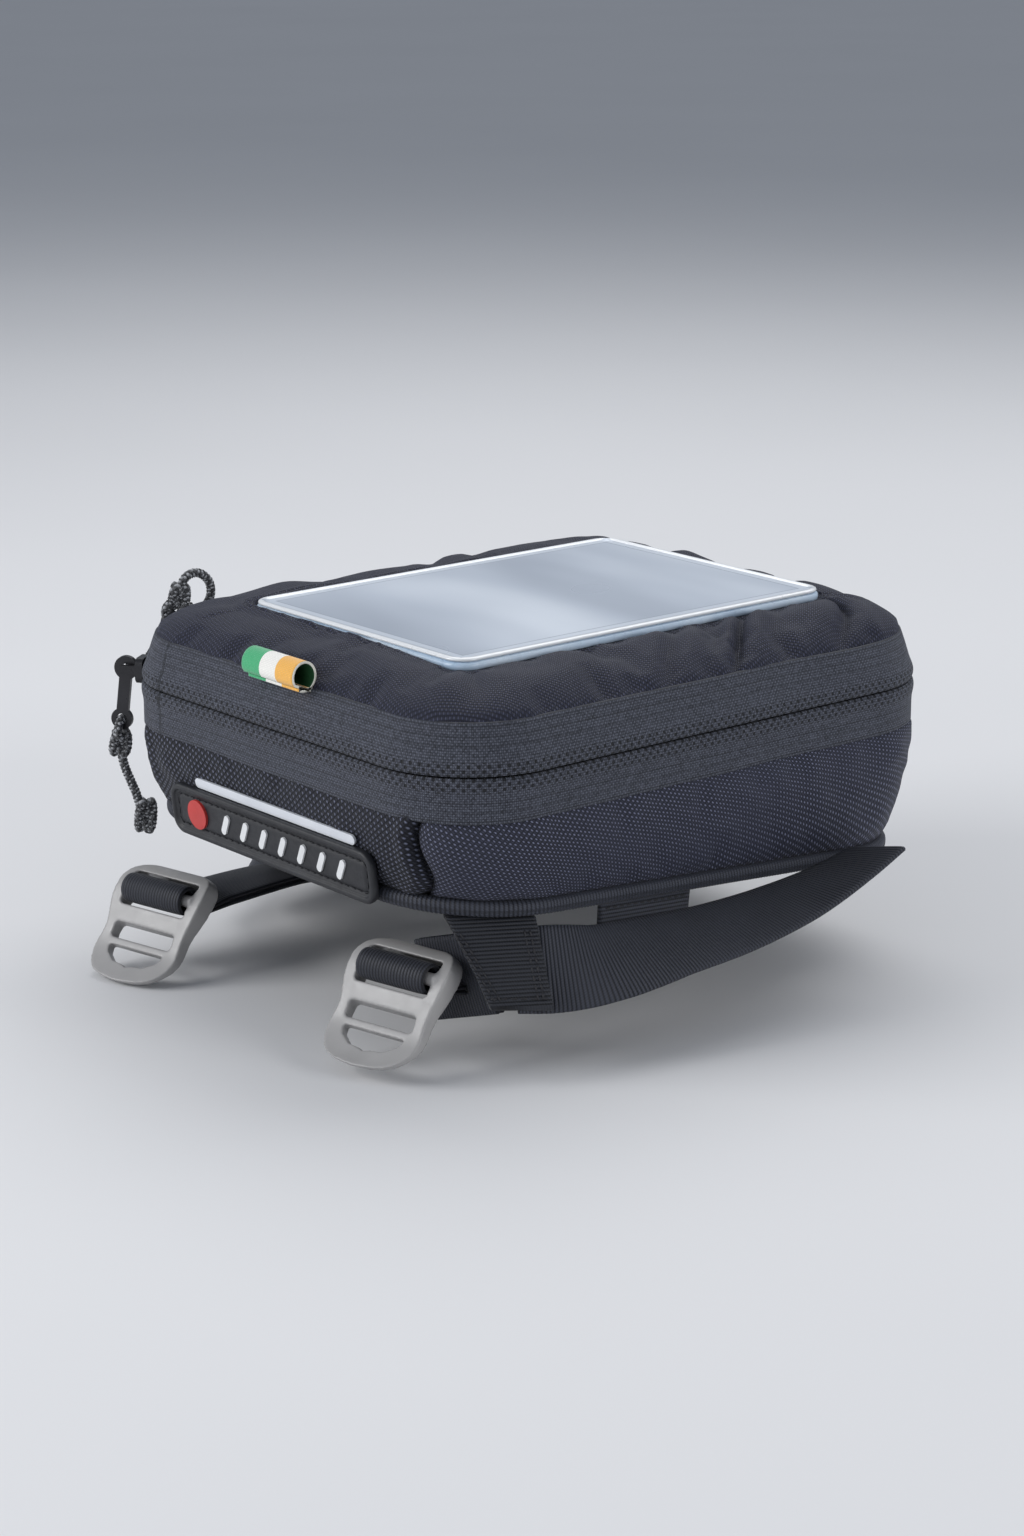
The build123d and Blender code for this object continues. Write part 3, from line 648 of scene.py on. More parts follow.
def settle(grid, wrap, skip_columns, slack, cap, skip_rows=3):
    """Lets a sheet, held at its seams, settle as cloth with some slack and some stuffing
    behind it. grid is (rows, columns, 3) in metres; returns how far each point moves."""
    rows, columns, _ = grid.shape
    row_count = max(6, (rows - 1) // skip_rows + 1)
    column_count = columns // skip_columns + (0 if wrap else 1)
    row_at = np.linspace(0, rows - 1, row_count)
    column_at = np.linspace(0, columns if wrap else columns - 1, column_count, endpoint=not wrap)
    points = resample(grid, row_at, column_at, wrap).reshape(-1, 3) * SIM_SCALE
    mesh = bpy.data.meshes.new("settling")
    mesh.from_pydata(points.tolist(), [], lattice_faces(row_count, column_count, wrap_columns=wrap))
    sheet = add_object("settling", mesh)
    number = np.arange(len(points)).reshape(row_count, column_count)
    held = set(number[0]) | set(number[-1])
    if not wrap:
        held |= set(number[:, 0]) | set(number[:, -1])
    add_cloth(sheet, held, slack)
    scene = bpy.context.scene
    for moment in range(1, SIM_FRAMES + 1):
        scene.frame_set(moment)
    settled = sheet.evaluated_get(bpy.context.evaluated_depsgraph_get()).data
    moved = np.empty(len(points) * 3, np.float32)
    settled.vertices.foreach_get("co", moved)
    change = (moved.reshape(-1, 3) - points) / SIM_SCALE
    size = np.linalg.norm(change, axis=1, keepdims=True)
    change *= np.minimum(1.0, cap / np.maximum(size, 1e-9))
    bpy.data.objects.remove(sheet)
    bpy.data.meshes.remove(mesh)
    scene.frame_set(1)
    fine_rows = np.arange(rows) * (row_count - 1) / (rows - 1)
    if wrap:
        fine_columns = np.arange(columns) * column_count / columns
    else:
        fine_columns = np.arange(columns) * (column_count - 1) / (columns - 1)
    return resample(change.reshape(row_count, column_count, 3), fine_rows, fine_columns, wrap)


# ------------------------------------------------------------------ the bag's outline
# width, length and corner radius of the outline at three heights, in mm
ZIP = (171.0, 198.0, 32.0)
BASE = (160.0, 189.0, 34.0)
BELLY = (167.5, 195.0, 33.0)
BELLY_Z = 24.0
BELLY_AT = 0.55
SLOPE = 0.08
WINDOW = (101.0, 145.0, 6.5)
RIM = (102.0, 146.0, 7.0)
WINDOW_SHIFT = 4.5
ZIP_Z = 49.4
SEAM_Z = 63.9
WALL_Z = 36.4
# the upright seams lie SEAM round the corners, and the front two sway by SEAM_SWAY,
# so each seam is a station and the side it sways to
SEAM = 0.30
SEAM_SWAY = 0.05
SEAMS = ((1 + SEAM, 1), (4 - SEAM, 0), (5 + SEAM, 0), (8 - SEAM, -1))
# runs and corners in turn, round the zip from the front left corner
RUNS = [107.0, 50.3, 134.0, 50.3, 107.0, 50.3, 134.0, 50.3]
ROUND = 683.2
TAPE_GAP = (49.05, 49.75)
COIL_Z = (48.4, 50.4)
UPPER_TAPE_LEAN = 4.0
# nominal width of a wall and of the lid's soft edge, which the folds and the maps use
RISE = 30.0
WALL_THICK = 2.0
LID_THICK = 1.5
TAPE_THICK = 1.3
POCKET_THICK = 1.2
LINING_THICK = 1.0


def perimeter(s, width, length, corner, shift=0.0):
    """Points and outward normals of a rounded rectangle at stations s, in mm.
    0-1 is the front run, 1-2 the front right corner, 2-3 the right run and so on round."""
    s = np.mod(s, 8.0)
    part = np.floor(s).astype(int)
    f = s - part
    side, bend = part // 2, part % 2
    hw, hl = width / 2 - corner, length / 2 - corner
    centres = np.array([(hw, -hl), (hw, hl), (-hw, hl), (-hw, -hl)])
    first, last = centres[side - 1], centres[side]
    x, y = np.moveaxis(first + (last - first) * np.where(bend, 1.0, f)[..., None], -1, 0)
    angle = (side - 1 + bend * f) * math.pi / 2
    nx, ny = np.cos(angle), np.sin(angle)
    return x + corner * nx, y + corner * ny + shift, nx, ny


def distance(s):
    """Nominal distance along the zip outline at station s, in mm."""
    marks = np.concatenate([[0], np.cumsum(RUNS)])
    turns = np.floor(s / 8.0)
    return np.interp(s - 8 * turns, range(9), marks) + turns * marks[-1]


def cycles(u, count):
    """Angle that turns count times round the bag."""
    return 2 * math.pi * count * u / ROUND


def stations(first, last, step):
    """Stations from first to last, about step mm apart, with one on each corner's end."""
    knots = sorted({first, last} | {k for k in range(math.ceil(first), math.floor(last) + 1)})
    out = []
    for a, b in zip(knots, knots[1:]):
        count = max(2, round((distance(b) - distance(a)) / step))
        out += list(np.linspace(a, b, count, endpoint=False))
    return np.array(out + [last])


def ring_stations(step):
    return stations(0.0, 8.0, step)[:-1]


def seam_sway(t):
    return SEAM_SWAY * np.sin(5.2 * t + 0.4)


def wall_point(s, t):
    """The wall's outer surface: station s, height t from foot 0 to top 1, in mm."""
    x0, y0, nx, ny = perimeter(s, *BASE)
    z0 = 5.3 - SLOPE * y0
    x1, y1, _, _ = perimeter(s, *BELLY)
    x2, y2, _, _ = perimeter(s, ZIP[0] - 0.6, ZIP[1] - 0.6, ZIP[2] - 0.3)
    k = BELLY_AT
    a = (t - k) * (t - 1) / k
    b = t * (t - 1) / (k * (k - 1))
    c = t * (t - k) / (1 - k)
    return (a * x0 + b * x1 + c * x2, a * y0 + b * y1 + c * y2,
            a * z0 + b * BELLY_Z + c * WALL_Z, nx, ny)


# ------------------------------------------------------------------ walls, zip and lid
# cloth slack (share) and the most that settling may move it; the front carries the patch
TIGHT = (0.006, 0.3 * MM)
LOOSE = (0.012, 0.75 * MM)
LID_SLACK = (0.024, 1.6 * MM)


def wall_panel(name, node, first, last, material, puff, seed, welt=0.0, folds=()):
    """One soft wall panel. It bulges between its seams by puff, folds in at both ends and
    stands up in a welt beside them; folds are (place, lean, width, height) in mm."""
    S, T = np.meshgrid(stations(first, last, 1.5), np.linspace(0, 1, 34))
    for seam, side in (SEAMS[0], SEAMS[3]):
        S = S + side * seam_sway(T) * bell(S, seam, 0.32)
    x, y, z, nx, ny = wall_point(S, T)
    u = distance(S)
    v = T * RISE
    ends = np.minimum(u - u[:, :1], u[:, -1:] - u)
    pinch = 1 - np.exp(-(ends / 3.6) ** 2)
    arch = np.sin(math.pi * T) ** 0.7
    out = puff * arch * pinch - 2.3 * np.exp(-(ends / 1.5) ** 2)
    out += welt * bell(ends, 4.2, 2.5) * (0.75 + 0.25 * arch)
    out += waves(u, v * 1.6, seed, 26, 70) * 0.34 * arch * pinch
    out += 0.16 * waves(u, v * 2.2, seed + 40, 9, 20) * pinch
    for at, lean, width, deep in folds:
        out += deep * bell(u + (v - RISE / 2) * lean, at, width) * arch
    out -= 0.5 * bell(T, 0.0, 0.07) + 0.35 * bell(T, 1.0, 0.06)
    points = joined(x + nx * out, y + ny * out, z) * MM
    slack, cap = TIGHT if node == "front_panel" else LOOSE
    points = points + settle(points, False, 3, slack, cap)
    piece = slab(name, points, joined(u, v) * MM, WALL_THICK * MM, material, "case", node)


def make_walls():
    front_right, right_rear, rear_left, left_front = (seam for seam, _ in SEAMS)
    wall_panel("front_wall", "front_panel", left_front - 8, front_right, "wall", 0.4, 3, 1.7)
    wall_panel("right_wall", "right_side_panel", front_right, right_rear, "side", 1.0, 5,
               folds=((140, 0.5, 6, 0.4), (320, -0.6, 8, 0.5)))
    wall_panel("rear_wall", "rear_panel", right_rear, rear_left, "wall", 0.8, 7, 1.7)
    wall_panel("left_wall", "left_side_panel", rear_left, left_front, "side", 1.0, 9)


# the upper tape stands out where the lid's big folds meet it
TAPE_BULGE = 1.1
TAPE_BULGE_AT = 282.0


def make_tape(name, node, body, low, high, lean):
    """A zip tape: proud beside the coil, tucked at its seam, with slow ripples."""
    S, H = np.meshgrid(ring_stations(1.5), np.linspace(low, high, 26))
    x, y, nx, ny = perimeter(S, *ZIP)
    u = distance(S)
    away = np.abs(H - ZIP_Z)
    out = 0.55 * bell(away, 2.6, 2.4) - lean * ((H - low) / (high - low)) ** 1.35
    out -= 0.35 * bell(away, 0.0, 0.9)
    out += 0.16 * (np.cos(cycles(u, 9) + 1.0) + np.cos(cycles(u, 15))) * np.clip(away / 12, 0, 1)
    if body == "lid":
        out += TAPE_BULGE * bell(u, TAPE_BULGE_AT, 15.0) * np.clip((H - ZIP_Z) / 8.0, 0, 1)
    points = joined(x + nx * out, y + ny * out, H) * MM
    slab(name, points, joined(u, H - ZIP_Z) * MM, TAPE_THICK * MM, "tape", body, node, wrap=True)


def make_coil(name, node, body, middle):
    """One half of the coil, as a row of small ribs behind the gap."""
    S, A = np.meshgrid(ring_stations(0.8), np.linspace(0, 2 * math.pi, 9)[:-1])
    u = distance(S)
    beat = 1 + 0.18 * np.sin(cycles(u, 470))
    x, y, nx, ny = perimeter(S, *ZIP)
    out = -2.15 + 0.7 * beat * np.cos(A)
    points = joined(x + nx * out, y + ny * out, middle + 0.75 * beat * np.sin(A)) * MM
    faces = lattice_faces(*S.shape, wrap_rows=True, wrap_columns=True)
    add_mesh(name, points, faces, joined(u, A) * MM, "coil", body, node)


# place along the seam, lean, width and height of each fold, in mm
LID_FOLDS = [
    (62, 0.3, 5, 0.8), (128, -0.3, 7, 0.9), (140, -0.3, 5, -0.8), (178, -0.5, 6, 0.7),
    (212, -0.88, 4.5, 1.1), (219, -0.88, 4.0, -1.6), (227, -0.8, 5.0, 0.9),
    (242, -0.93, 3.2, 1.5), (247, -0.93, 2.1, -3.0), (254, -0.85, 4.2, 1.9),
    (262, -0.9, 3.0, -1.0), (279, -1.0, 7.5, 2.3), (291, -1.0, 2.9, -2.5), (303, -0.8, 7, 1.6),
    (330, 0.4, 6, 1.0), (420, 0.3, 6, 0.7), (470, 0.5, 6, 0.9), (540, -0.6, 6, 0.8), (552, -0.6, 4, -0.9),
    (610, -0.3, 7, 0.7),
]
HEM_LIFT = 2.4


def make_lid():
    """The padded cloth from the lid's seam at t 0 to the window at t 1, and tucked under it.
    It has folds, puckers at the seam, a stitched hem beside the window, and the hem is raised
    where it covers the window's rim, at the front and left."""
    t = np.concatenate([np.linspace(0, 0.88, 36), np.linspace(0.88, 1, 14)[1:], np.linspace(1, 1.28, 8)[1:]])
    S, T = np.meshgrid(ring_stations(1.4), t)
    slope = np.clip(T, 0, 1)
    x0, y0, nx, ny = perimeter(S, ZIP[0] - 8.0, ZIP[1] - 8.0, ZIP[2] - 4.0)
    x1, y1, _, _ = perimeter(S, RIM[0] + 2.0, RIM[1] + 2.0, RIM[2] + 1.0, WINDOW_SHIFT)
    tuck = np.maximum(T - 1.0, 0.0) * 25.0
    x = x0 + (x1 - x0) * slope - nx * tuck
    y = y0 + (y1 - y0) * slope - ny * tuck
    u = distance(S)
    v = slope * RISE
    arch = np.sin(math.pi * slope) ** 0.8
    lift = 1.2 * arch + waves(u, v * 1.5, 21, 22, 60) * 0.35 * arch
    for at, lean, width, deep in LID_FOLDS:
        lift += deep * bell(u + (v - RISE / 2) * lean, at, width) * arch ** 0.7
    lift -= 0.9 * bell(T, 0.0, 0.05)
    pucker = np.cos(cycles(u, 83)) + np.cos(cycles(u, 59) + 1.7)
    lift += 0.16 * pucker * np.exp(-v / 5.0) * (1 - np.exp(-v / 0.8))
    lift += 0.55 / (1 + np.exp(-(T - 0.935) / 0.006)) - 0.5 * bell(T, 0.925, 0.014)
    turn = np.abs(np.mod(S + 4.4, 8.0) - 4.0)
    covered = 1 / (1 + np.exp((turn - 1.3) / 0.12))
    lift += HEM_LIFT * covered * np.clip((T - 0.78) / 0.2, 0, 1) ** 1.5 * (T <= 1.0)
    z = SEAM_Z + 6.4 * np.sin(slope * math.pi / 2) ** 0.8 + lift - 0.6 * (T > 1.0)
    points = joined(x, y, z) * MM
    sewn = int(np.sum(t <= 1.0))
    points[:sewn] += settle(points[:sewn], True, 4, *LID_SLACK)
    piece = slab("lid_cloth", points, joined(x, y) * MM, LID_THICK * MM, "lid", "lid", "top_panel", wrap=True)


def rounded_ring(name, node, outline, low_z, section, body, material, ripple=0.0, step=1.2):
    """A closed ring with the given cross section: a list of (outward, up) in mm."""
    s = ring_stations(step)
    section = np.array(section, float)
    x, y, nx, ny = perimeter(s, *outline)
    rows = []
    maps = []
    u = distance(s)
    rib = 1 + ripple * np.cos(cycles(u, round(ROUND / 1.25)))
    middle = section.mean(axis=0)
    for (out, up), along in zip(section, marks_along(section)):
        o = middle[0] + (out - middle[0]) * rib
        h = middle[1] + (up - middle[1]) * rib
        rows.append(joined(x + nx * o, y + ny * o, low_z(y) + h))
        maps.append(joined(u, along))
    faces = lattice_faces(len(section), len(s), wrap_rows=True, wrap_columns=True)
    add_mesh(name, np.array(rows) * MM, faces, np.array(maps) * MM, material, body, node)


def oval(half_out, half_up, centre_out, centre_up, count=20, power=0.75):
    """A superellipse section, anticlockwise from outside."""
    angle = np.linspace(0, 2 * math.pi, count, endpoint=False)
    return [(centre_out + half_out * math.copysign(abs(a) ** power, a),
             centre_up + half_up * math.copysign(abs(b) ** power, b))
            for a, b in zip(np.cos(angle), np.sin(angle))]


def make_binding():
    rounded_ring("base_piping", "base_binding", BASE, lambda y: 0.6 - SLOPE * y,
                 oval(2.3, 2.3, -0.9, 2.3), "case", "binding", ripple=0.045, step=0.42)


# ------------------------------------------------------------------ flat straps
def smooth_path(points, step):
    """A smooth line through points, sampled about every step mm, with its parameter."""
    points = np.asarray(points, float)
    spans = np.linalg.norm(np.diff(points, axis=0), axis=1)
    marks = np.concatenate([[0], np.cumsum(spans ** 0.5)])
    slope = np.gradient(points, marks, axis=0)
    out, where = [], []
    for i, size in enumerate(spans):
        f = np.linspace(0, 1, max(2, round(size / step)), endpoint=False)[:, None]
        h = marks[i + 1] - marks[i]
        out.append((2 * f**3 - 3 * f**2 + 1) * points[i] + (f**3 - 2 * f**2 + f) * h * slope[i]
                   + (-2 * f**3 + 3 * f**2) * points[i + 1] + (f**3 - f**2) * h * slope[i + 1])
        where.append(i + f[:, 0])
    return np.vstack(out + [points[-1:]]), np.concatenate(where + [[len(points) - 1.0]])


def strap(name, centres, ways, width, thick, material, body, node=None, step=0.8, cup=0.0):
    """Webbing along centres (mm), its width lying along ways, with rounded selvedges."""
    path, where = smooth_path(centres, step)
    ways = np.asarray(ways, float)
    side = interpolate(where, range(len(ways)), ways)
    travel = unit(np.gradient(path, axis=0))
    side = unit(side - travel * np.sum(travel * side, axis=1, keepdims=True))
    up = np.cross(travel, side)
    run = marks_along(path)
    across = np.linspace(-1, 1, 17)
    half = width / 2
    top = [(a * (half - 0.25), thick / 2 * (1 - 0.25 * abs(a) ** 6) + cup * (1 - a * a)) for a in across]
    bottom = [(a, h - thick * (1 - 0.25 * abs(b) ** 6)) for (a, h), b in zip(top[::-1], across[::-1])]
    section = top + [(half, 0.0)] + bottom + [(-half, 0.0)]
    rows = [path + side * a + up * h for a, h in section]
    maps = [joined(a, run) for a, _ in section]
    faces = lattice_faces(len(section), len(path), wrap_rows=True) + end_faces(len(section), len(path))
    return add_mesh(name, np.array(rows) * MM, faces, np.array(maps) * MM, material, body, node)


# middle of the tail and the way its width lies, from the anchor to the rear
TAIL = [
    ((81.6, -74.0, -7.9), (0.46, -0.26, -0.85)), ((85.8, -64.6, -8.6), (0.44, 0, -0.9)),
    ((91.5, -50, -8.6), (0.74, 0, -0.67)), ((93, -26, -8), (0.9, 0, -0.43)),
    ((93.2, -2, -7.6), (0.96, 0, -0.28)), ((93.6, 22, -5), (0.99, 0, -0.1)),
    ((94, 42, -0.6), (0.99, 0, 0.12)), ((94.2, 58, 4.2), (0.96, 0, 0.28)),
]
TAIL_LEFT_ROOT = [
    ((-62.5, -46.0, -18.4), (0, 1, -0.08)), ((-74.5, -45.6, -18.6), (0.25, 0.75, 0.55)),
    ((-81.5, -42.4, -17.0), (0.42, 0.3, 0.86)),
]

TAIL_BEND = 2.5
TAIL_WIDTH = 25.0
PLY = 1.55


def make_tail(side, course, joint):
    """A tail of webbing along its course, baked into place; its root and travel at the station numbered joint
    are worked out but not used.
    """
    piece = strap(f"strap_tail_{side}", *zip(*course), TAIL_WIDTH, 1.6, "webbing", None, f"tail_{side}")
    root = np.array(course[joint][0])
    travel = root - np.array(course[joint - 1][0])
    travel[2] = 0
    travel *= TAIL_BEND / np.linalg.norm(travel)
    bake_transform(piece)


def make_tails():
    make_tail("right", TAIL, 1)
    left = [((-x, y + 27, z - 6), (way[0], 0, -way[2])) for (x, y, z), way in TAIL[1:]]
    make_tail("left", TAIL_LEFT_ROOT + left, len(TAIL_LEFT_ROOT))


def make_seam_tapes():
    """Tape bound over the four upright seams inside the body."""
    t = np.linspace(0.02, 0.97, 12)
    for number, (seam, side) in enumerate(SEAMS):
        x, y, z, nx, ny = wall_point(seam + side * seam_sway(t), t)
        centres = joined(x - nx * 2.7, y - ny * 2.7, z)
        ways = joined(-ny, nx, 0.0)
        strap(f"seam_tape_{number}", centres, ways, 7.0, 0.8, "lining", "case", step=1.2, cup=1.9)


# ------------------------------------------------------------------ buckles and their webbing
YAW, PITCH = math.radians(12), math.radians(38)
ACROSS = np.array([math.cos(YAW), math.sin(YAW), 0.0])
UPWARD = np.array([-math.sin(YAW) * math.sin(PITCH), math.cos(YAW) * math.sin(PITCH), math.cos(PITCH)])
FACING = np.cross(ACROSS, UPWARD)
BUCKLES = {"right": np.array([55.0, -98.2, -20.3]), "left": np.array([-55.0, -104.7, -23.7])}
BAR = (10.1, 2.0)
LOOP_RADIUS = 3.9
# middle of the webbing behind the buckle and the way its width lies
WEBBING = {
    "right": [((53.4, -77.4, -17.8), (1, 0.1, 0))],
    "left": [((-56.0, -80.0, -18.0), (1, 0, 0.05)), ((-57.0, -54.6, -17.8), (1, 0, 0.1)),
             ((-58.6, -41.0, -19.6), (1, 0, 0.1))],
}


def buckle_point(side, y, z):
    return BUCKLES[side] + UPWARD * y + FACING * z


def make_buckle_strap(side):
    """One length of webbing: up to the bar, round it and back, its two plies together."""
    loop = []
    for angle in np.radians(range(-125, 126, 25)):
        up, out = LOOP_RADIUS * math.sin(angle), LOOP_RADIUS * math.cos(angle)
        loop.append(buckle_point(side, BAR[0] + up, BAR[1] + out))
    neck = buckle_point(side, BAR[0], BAR[1] - 7.5)
    far = [np.array(centre) for centre, _ in WEBBING[side]]
    far_ways = [np.array(way, float) for _, way in WEBBING[side]]
    lift = np.array([0, 0, 0.85])
    lower = [centre - lift for centre in reversed(far)] + [neck - UPWARD * 0.9]
    upper = [neck + UPWARD * 0.9] + [centre + lift for centre in far]
    ways = far_ways[::-1] + [ACROSS] * (len(loop) + 2) + far_ways
    piece = strap(f"buckle_webbing_{side}", lower + loop + upper, ways, 24.6, PLY, "webbing_long",
                  "strap_right" if side == "right" else None, f"buckle_strap_{side}", step=0.7)
    if side == "left":
        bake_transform(piece)


def make_fold():
    """The right strap's turn up to its anchor, in two plies."""
    line = np.array([(47.0, -77.0, -19.2), (56, -76.4, -16.2), (65, -75.8, -13.2), (72.0, -75.4, -10.8)])
    ways = [(-0.33, -0.1, 0.94)] * len(line)
    for number, offset in enumerate((-0.85, 0.85)):
        ply = line + np.array([0.02, -1.0, 0.0]) * offset
        strap(f"fold_webbing_{number}", ply, ways, 24.4, PLY, "webbing", "strap_right")


# ------------------------------------------------------------------ stitches
STITCH_RINGS = [(-1.0, 0.35), (-0.6, 0.9), (0.0, 1.0), (0.6, 0.9), (1.0, 0.35)]
STITCH_SIDES = 6


def stitch(point, way, up, length, radius, start):
    """One flattened capsule: its vertices, and its faces numbered from start."""
    side = np.cross(way, up)
    verts = []
    for along, share in STITCH_RINGS:
        sink = -0.35 * along * along * radius
        for a in np.linspace(0, 2 * math.pi, STITCH_SIDES, endpoint=False):
            verts.append(point + way * along * length / 2 + side * math.cos(a) * radius * share
                         + up * (math.sin(a) * radius * share * 0.8 + sink))
    return verts, tube_faces(len(STITCH_RINGS), STITCH_SIDES, start)


def stitch_run(name, lines, up, body, pitch=2.6, length=1.9, radius=0.28):
    """Rows of stitches along polylines given in mm."""
    up = np.asarray(up, float)
    verts, faces = [], []
    for line in lines:
        line = np.asarray(line, float)
        marks = marks_along(line)
        count = max(1, int(marks[-1] / pitch))
        at = (np.arange(count) + 0.5) * marks[-1] / count
        ways = unit(interpolate(at + 0.3, marks, line) - interpolate(at - 0.3, marks, line))
        for point, way in zip(interpolate(at, marks, line), ways):
            more_verts, more_faces = stitch(point, way, up, length, radius, len(verts))
            verts += more_verts
            faces += more_faces
    verts = np.array(verts) * MM
    add_mesh(name, verts, faces, verts[:, :2], "thread", body)


# ------------------------------------------------------------------ flat pieces with a rounded outline
def pillow(name, outline, rows, to_world, material, body, node, step=1.5, top=None):
    """A closed piece from rings of a rounded rectangle. rows are (inset, height) in mm from
    the middle of the underside, round the edge, to the middle of the upper side."""
    width, length, corner = outline
    s = ring_stations(step)
    points, maps = [], []
    for inset, height in rows:
        x, y, _, _ = perimeter(s, width - 2 * inset, length - 2 * inset, max(corner - inset, 0.6))
        z = np.full_like(x, height)
        if top is not None:
            z = z + top(x, y, inset, height)
        points.append(to_world(x, y, z))
        maps.append(joined(x, y))
    faces = tube_faces(len(rows), len(s))
    return add_mesh(name, np.array(points) * MM, faces, np.array(maps) * MM, material, body, node)


def plate_rows(thick, reach, round_by=0.5, count=12):
    """Rows of a plate: underside, rounded edge and upper side, up to reach mm inwards."""
    rows = [(reach * f, 0.0) for f in np.linspace(1, 0.08, count)]
    rows += [(round_by, 0.0), (round_by * 0.3, thick * 0.12), (0.0, thick * 0.5)]
    rows += [(round_by * 0.3, thick * 0.88), (round_by, thick)]
    return rows + [(reach * f, thick) for f in np.linspace(0.08, 1, count)]


def wavy(size, seed, low, high, edge):
    """Slow waves over a plate, further than edge mm from its outline."""
    return lambda x, y, inset, height: size * waves(x, y, seed, low, high) * (inset > edge)


def base_place(lift):
    """Places rings on the sloping base plane, lifted by lift mm."""
    return lambda x, y, z: joined(x, y + SLOPE * (z + lift), (z + lift) - SLOPE * y)


def level_place(height, shift):
    return lambda x, y, z: joined(x, y + shift, z + height)


def make_base():
    pillow("grip_pad", (80, 130, 14), plate_rows(2.0, 38.0, 0.7), base_place(0.0), "grip", "case", "base_pad")
    panel = pillow("base_cloth", (153.2, 182.2, 30.6), plate_rows(1.4, 74.0, 0.5, 26), base_place(2.0),
                   "lining", "case", "base_panel", top=wavy(0.12, 31, 20, 60, 4))
    pillow("base_board_insert", (150, 179, 29), plate_rows(2.4, 72.0, 0.6, 20), base_place(3.4),
           "board", "case", "base_board")


def make_window():
    edge = [(49.0, 0.0), (30.0, 0.0), (10.0, 0.0), (1.0, 0.0), (0.4, 0.15), (0.0, 0.5), (0.1, 0.9)]
    edge += [(0.5, 1.15), (1.0, 1.25), (1.6, 1.2), (2.1, 1.0), (2.5, 0.75), (3.0, 0.72)]
    edge += [(inset, 0.75) for inset in np.linspace(4, 49.3, 34)]

    def crown(x, y, inset, height):
        if inset < 2.2 or height == 0.0:
            return 0.0
        dome = (1 - (2 * x / WINDOW[0]) ** 2) * (1 - (2 * y / WINDOW[1]) ** 2)
        return dome * (0.7 + 0.22 * waves(x, y, 44, 70, 150, 8))

    pillow("window_sheet", WINDOW, edge, level_place(72.9, WINDOW_SHIFT), "film", "lid", "window_film",
           step=2.0, top=crown)
    rounded_ring("window_rim_edge", "window_insert", (*RIM, WINDOW_SHIFT), lambda y: 70.3,
                 oval(3.0, 1.3, -3.0, 1.3, 16, 0.5), "lid", "rim")


def make_pocket():
    backing = pillow("pocket_back", (96, 140.5, 4), plate_rows(1.2, 46.0, 0.4, 16), level_place(63.3, 5.75),
                     "lining", "lid", "pocket_backing", top=wavy(0.05, 52, 20, 50, 3))
    half, front, corner = 47.3, -60.5, 4.0
    turns = np.linspace(0.2, 1.37, 7)
    right = [(half, 75.5), (half, front)]
    right += [(half - corner * (1 - math.cos(a)), max(front - corner * math.sin(a), -63.8)) for a in turns]
    right += [(43.3, -63.8)]
    line = np.array([(-x, y) for x, y in right] + right[::-1])
    spans = marks_along(line)
    A, H = np.meshgrid(np.linspace(0, spans[-1], 240), np.linspace(64.65, 68.55, 7))
    points = joined(np.interp(A, spans, line[:, 0]), np.interp(A, spans, line[:, 1]), H) * MM
    slab("pocket_walls", points, joined(A, H) * MM, POCKET_THICK * MM, "lining", "lid", "pocket_gusset")


def make_liner():
    """The lid's lining, with the pocket's slot at the rear."""
    S, T = np.meshgrid(ring_stations(1.8), np.linspace(0, 1, 30))
    x0, y0, _, _ = perimeter(S, 159.0, 186.0, 26.0)
    x1, y1, _, _ = perimeter(S, 88.0, 14.0, 1.0, 83.0)
    x = x0 + (x1 - x0) * T
    y = y0 + (y1 - y0) * T
    z = 63.3 - 0.35 * np.sin(math.pi * T) * (1 + waves(x, y, 61, 25, 70) * 0.6)
    points = joined(x, y, z) * MM
    piece = slab("lid_lining", points, points[..., :2], LINING_THICK * MM, "lining", "lid", "lid_liner",
                 wrap=True)


def make_hinge():
    """The strip inside the rear wall that the lid turns on, baked into place."""
    X, Z = np.meshgrid(np.linspace(-48, 48, 49), np.linspace(40.2, 56.0, 26))
    Y = 95.5 + 0.25 * np.sin(X / 7) * bell(Z, 48, 5) - 0.8 * bell(Z, ZIP_Z, 3)
    points = joined(-X, Y, Z) * MM
    piece = slab("hinge_cloth", points, joined(X, Z) * MM, LINING_THICK * MM, "lining", None, "rear_hinge")
    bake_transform(piece)


# ------------------------------------------------------------------ patch, anchors and tabs
TILT = math.radians(7)
PATCH_AT = (1.0, -97.6, 15.8)
PATCH_OUT = (0.0, -math.cos(TILT), -math.sin(TILT))
# inset and height from the edge, over the raised border and the stitched groove, to the face
PATCH_ROWS = [
    (7.0, 0.0), (0.5, 0.0), (0.15, 0.15), (0.0, 0.5), (0.0, 1.7), (0.2, 2.1), (0.6, 2.35), (1.1, 2.4),
    (1.6, 2.3), (1.9, 2.0), (2.05, 1.75), (2.3, 1.62), (2.75, 1.6), (2.95, 1.35), (3.25, 1.3),
    (3.55, 1.35), (3.75, 1.6), (5.0, 1.6), (7.2, 1.6),
]


def plane_place(origin, x_way, out):
    """Places (x, y, height) on a plane through origin; x_way is made square to out."""
    out = unit(out)
    x_way = unit(x_way)
    x_way = unit(x_way - out * out.dot(x_way))
    y_way = np.cross(out, x_way)

    def place(x, y, z):
        x, y, z = (np.asarray(a, float)[..., None] for a in (x, y, z))
        return np.array(origin, float) + x * x_way + y * y_way + z * out
    return place, out


